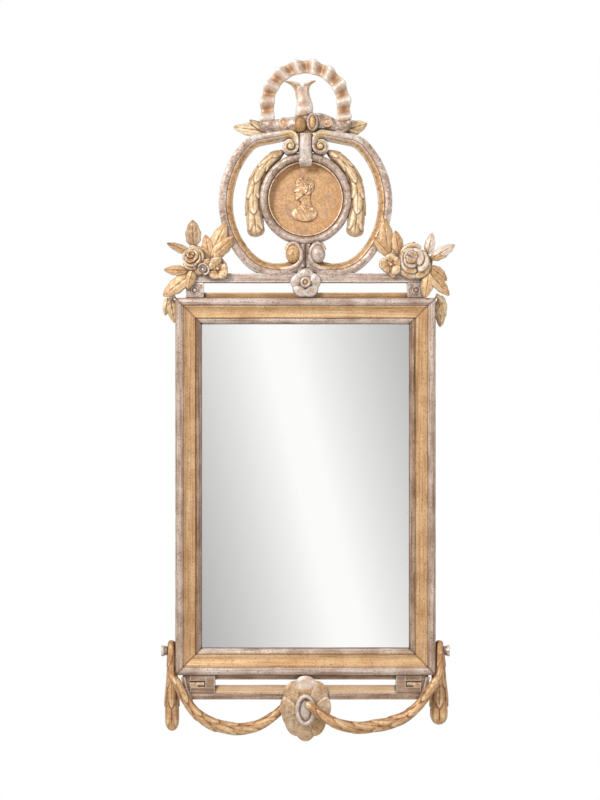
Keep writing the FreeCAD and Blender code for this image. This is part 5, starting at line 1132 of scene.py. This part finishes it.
# Pegs on the stiles: turned pins with a dished head and a neck, tenoned into the wood. The garlands hang
# from them over the neck. They are silvered all over.
PEG_DEPTH, PEG_Z = 25, -281.1
for node, side in (("peg_left", -1), ("peg_right", 1)):
    bm = bmesh.new()
    profile = [
        (205.8, 0), (205.8, 4.9), (221, 5.0), (235.6, 5.0), (235.8, 7.2), (237.2, 8.2), (239, 7.6),
        (240.5, 8.2), (243.5, 9.5), (245.6, 9.6), (246.2, 8.6), (245.4, 7.2), (244.2, 5.0), (243.8, 2.4),
        (243.7, 0),
    ]
    line = [bm.verts.new(at(side * x, PEG_DEPTH, PEG_Z + radius)) for x, radius in profile]
    edges = [bm.edges.new(pair) for pair in zip(line, line[1:])]
    bmesh.ops.spin(
        bm, geom=line + edges, cent=at(0, PEG_DEPTH, PEG_Z), axis=(1, 0, 0), angle=tau, steps=40,
        use_merge=True,
    )
    seat(bm, node, [carved_silver])

# Garlands of the apron: each hangs over its peg, sags in a swag to the patera and drops behind the peg in a
# tassel of laurel. They are carved in lengths of pine, dowelled and gilt.
rich_gold = leafed("gold_leaf_on_apron_garlands", "#D3A573", "#BC8B5D", "#6A3F22", "#EBCFA6", 0.28, None, 0.5)
# Where they hang on the neck of a peg, the radius of their bend over it, and start and depth of the sag.
HANG, OVER, SAG_X, SAG_Z, SAG_DEPTH, SAG = 228.6, 11.6, 216.6, -336.1, 47, 57


def swag_points(side, end_x, end_z, end_depth, crossing):
    """Places along a swag: up behind its peg, over the neck, under the frame and along its sag."""
    points = []
    for step in range(6):
        angle = pi * step / 6
        points.append((side * HANG, PEG_DEPTH - OVER * cos(angle), PEG_Z + OVER * sin(angle)))
    points += [(side * HANG, 36.6, PEG_Z), (side * HANG, 37.5, -301), (side * 227.0, 40, -HALF_HIGH)]
    for step in range(10):
        share = step / 9
        off = abs(share + share - 1)
        sag = 1 - off ** (3.2 if step < 4.5 else 2)
        rise = max(0, share - 0.45) / 0.55
        depth = SAG_DEPTH + (end_depth - SAG_DEPTH) * min(1, rise * crossing)
        x = SAG_X + (end_x - SAG_X) * share
        points.append((side * x, depth, SAG_Z + (end_z - SAG_Z) * share - SAG * sag))
    return points


# Shares of the full thickness along a swag.
fullness = (0.6,) * 8 + (0.66, 0.72, 0.8, 0.9, 1, 1, 0.98, 0.92, 0.84, 0.74, 0.6)
swag_thick = course([(share, 0) for share in fullness], 320)
for node, side, end in (("swag_left", -1, (31.7, -371.4, 28.1, 1)),
                        ("swag_right", 1, (0, -363.6, 61.9, 1.8))):

    def reach(share, length, turn):
        thick = 11.0 * swag_thick[round(share * 320)].x
        leaves = 0.82 + 0.26 * laurel(length, turn, 34, 62, 3, 0.010)
        return thick * leaves * blunt(share, 0.985, 0.015, 0.2)

    bm = bmesh.new()
    rod(bm, course(swag_points(side, *end), 320), 48, reach, (1, 0, 0))
    seat(bm, node, [rich_gold], None, 50, 0.4)

for node, side, length, radius in (("pendant_left", -1, 131, 13.4), ("pendant_right", 1, 121, 16.6)):
    line = course([(side * HANG, 13.4, PEG_Z - length * share) for share in (0, 0.25, 0.5, 0.75, 1.06)], 130)

    def reach(share, length, turn):
        thick = radius * min(1.0, 0.60 + 0.46 * (share / 0.75))
        return thick * (0.80 + 0.25 * laurel(length, turn, 34, 64, 4)) * blunt(share, 0.88, 0.12, 0.1)

    bm = bmesh.new()
    rod(bm, line, 54, reach, hold=lambda p: Vector((
        side * max(abs(p.x), 222.0) if p.z > -321.5 else p.x, max(p.y, 0.5), p.z)))
    seat(bm, node, [rich_gold])

# Painted shade on the carving: each point gets the share of its outlook that wood closes off within a
# finger's breadth, as where pieces meet and in deep cuts, and the leaf finishes darken it brown by that
# share. The straight mouldings and the side drops keep half of it.
FINGER, RAYS, SHADE_KEPT = 0.015, 5, 0.5
corners, faces = [], []
for piece in finished:
    first = len(corners)
    corners += [vert.co.copy() for vert in piece.data.vertices]
    faces += [[first + corner for corner in face.vertices] for face in piece.data.polygons]
carving = BVHTree.FromPolygons(corners, faces)
for piece in finished:
    mesh = piece.data
    closed = np.zeros(len(mesh.vertices))
    for vert in mesh.vertices:
        normal = vert.normal
        if normal.y > 0.4:
            continue
        side = normal.orthogonal().normalized()
        other = normal.cross(side)
        start = vert.co + normal * 0.0004
        # Rays that lean 55 degrees off the normal.
        for turn in range(RAYS):
            angle = tau * turn / RAYS
            way = normal * 0.57 + (side * cos(angle) + other * sin(angle)) * 0.82
            away = carving.ray_cast(start, way, FINGER)[3]
            if away is not None:
                closed[vert.index] += (1 - away / FINGER) / RAYS
    pairs, share = neighbours(mesh)
    for _ in range(3):
        closed = 0.5 * closed + 0.5 * share * np.bincount(pairs[:, 0], closed[pairs[:, 1]], len(closed))
    if piece.name.startswith(("frame_", "sight_", "side_drop")):
        closed = closed * SHADE_KEPT
    mesh.attributes.new("occlusion_shade", "FLOAT", "POINT").data.foreach_set("value", closed)

# Studio: a pale floor well below the hanging mirror, a white room, one broad soft lamp at the upper left and
# a weaker one at the right. A graded card behind the camera is what the plate reflects.


def prop(name, bm, finish):
    """A thing in the studio that isn't part of the mirror."""
    mesh = bpy.data.meshes.new(name)
    bm.to_mesh(mesh)
    bm.free()
    mesh.materials.append(finish)
    made = bpy.data.objects.new(name, mesh)
    bpy.context.scene.collection.objects.link(made)
    return made


floor_paint, tree, shader, place = fresh("pale_floor_paint")
# Roller marks of 20 mm, too faint to see as more than a soft unevenness.
mark = add(tree, "TexNoise", {"Vector": place, "Scale": 1000 / 20, "Detail": 2.0})[0]
colour = add(tree, "Mix", {0: mark, 6: tint("#F4F3F1"), 7: tint("#EFEEEB")}, data_type="RGBA")[2]
wire(tree, shader, {"Base Color": colour, "Roughness": 0.7})
bm = bmesh.new()
middle = Matrix.Translation((0, -0.2, -1.0))
bmesh.ops.create_circle(bm, cap_ends=True, segments=96, radius=1.3, matrix=middle)
floor = prop("floor", bm, floor_paint)

graded, tree, shader, place = fresh("graded_card")
tree.nodes.remove(shader)
parts = add(tree, "SeparateXYZ", {0: place})
# White along a slanting line, greyer to both sides of it.
lean = add(tree, "Math", {0: parts["Z"], 1: 0.0962, 2: 0.0029}, operation="MULTIPLY_ADD")[0]
off = add(tree, "Math", {0: parts["X"], 1: 0.3926, 2: lean}, operation="MULTIPLY_ADD")[0]
off = add(tree, "Math", {0: off}, operation="ABSOLUTE")[0]
level = add(tree, "MapRange", {
    "Value": off, "From Min": 0.025, "From Max": 0.26, "To Min": 1.0, "To Max": 0.70,
})[0]
level = add(tree, "Math", {0: level, 1: 2.2}, operation="POWER")[0]
glow = add(tree, "Emission", {"Strength": level})[0]
wire(tree, tree.nodes["Material Output"], {"Surface": glow})
bm = bmesh.new()
bmesh.ops.create_grid(
    bm, x_segments=4, y_segments=4, size=1.0,
    matrix=Matrix.Translation((0.02, -5.0, -0.38)) @ Matrix.Rotation(pi / 2, 4, "X"),
)
card = prop("graded_card", bm, graded)
card.visible_camera = card.visible_diffuse = card.visible_shadow = card.visible_transmission = False

room = bpy.data.worlds.new("white_room")
room.use_nodes = True
bpy.context.scene.world = room
tree = room.node_tree
ray = add(tree, "LightPath")
seen = add(tree, "Math", {0: ray["Is Camera Ray"], 1: ray["Is Glossy Ray"]}, operation="MAXIMUM")[0]
seen = add(tree, "Math", {0: seen, 1: ray["Is Transmission Ray"]}, operation="MAXIMUM")[0]
strength = add(tree, "Math", {0: seen, 1: 0.63, 2: 0.37}, operation="MULTIPLY_ADD")[0]
wire(tree, tree.nodes["Background"], {"Color": (1, 1, 1, 1), "Strength": strength})

for name, spot, size, watts in (("key_lamp", (-1.5, -2.3, 1.7), 1.0, 74),
                                ("fill_lamp", (1.8, -2.4, 0.2), 1.6, 14)):
    light = bpy.data.lights.new(name, "AREA")
    light.size = size
    light.energy = watts
    lamp = bpy.data.objects.new(name, light)
    lamp.location = spot
    lamp.rotation_euler = (Vector((0, 0, 0.15)) - Vector(spot)).to_track_quat("-Z", "Y").to_euler()
    bpy.context.scene.collection.objects.link(lamp)

# Camera: straight on, 3.2 m from the front of the frame, so that 800 picture lines span 1.36 m.
lens = bpy.data.cameras.new("camera")
lens.lens = 84.7
lens.sensor_width = 36
camera = bpy.data.objects.new("camera", lens)
camera.location = (-0.00935, -3.24, 0.147)
camera.rotation_euler = (pi / 2, 0, 0)
bpy.context.scene.collection.objects.link(camera)
bpy.context.scene.camera = camera
bpy.context.scene.view_settings.view_transform = "Standard"
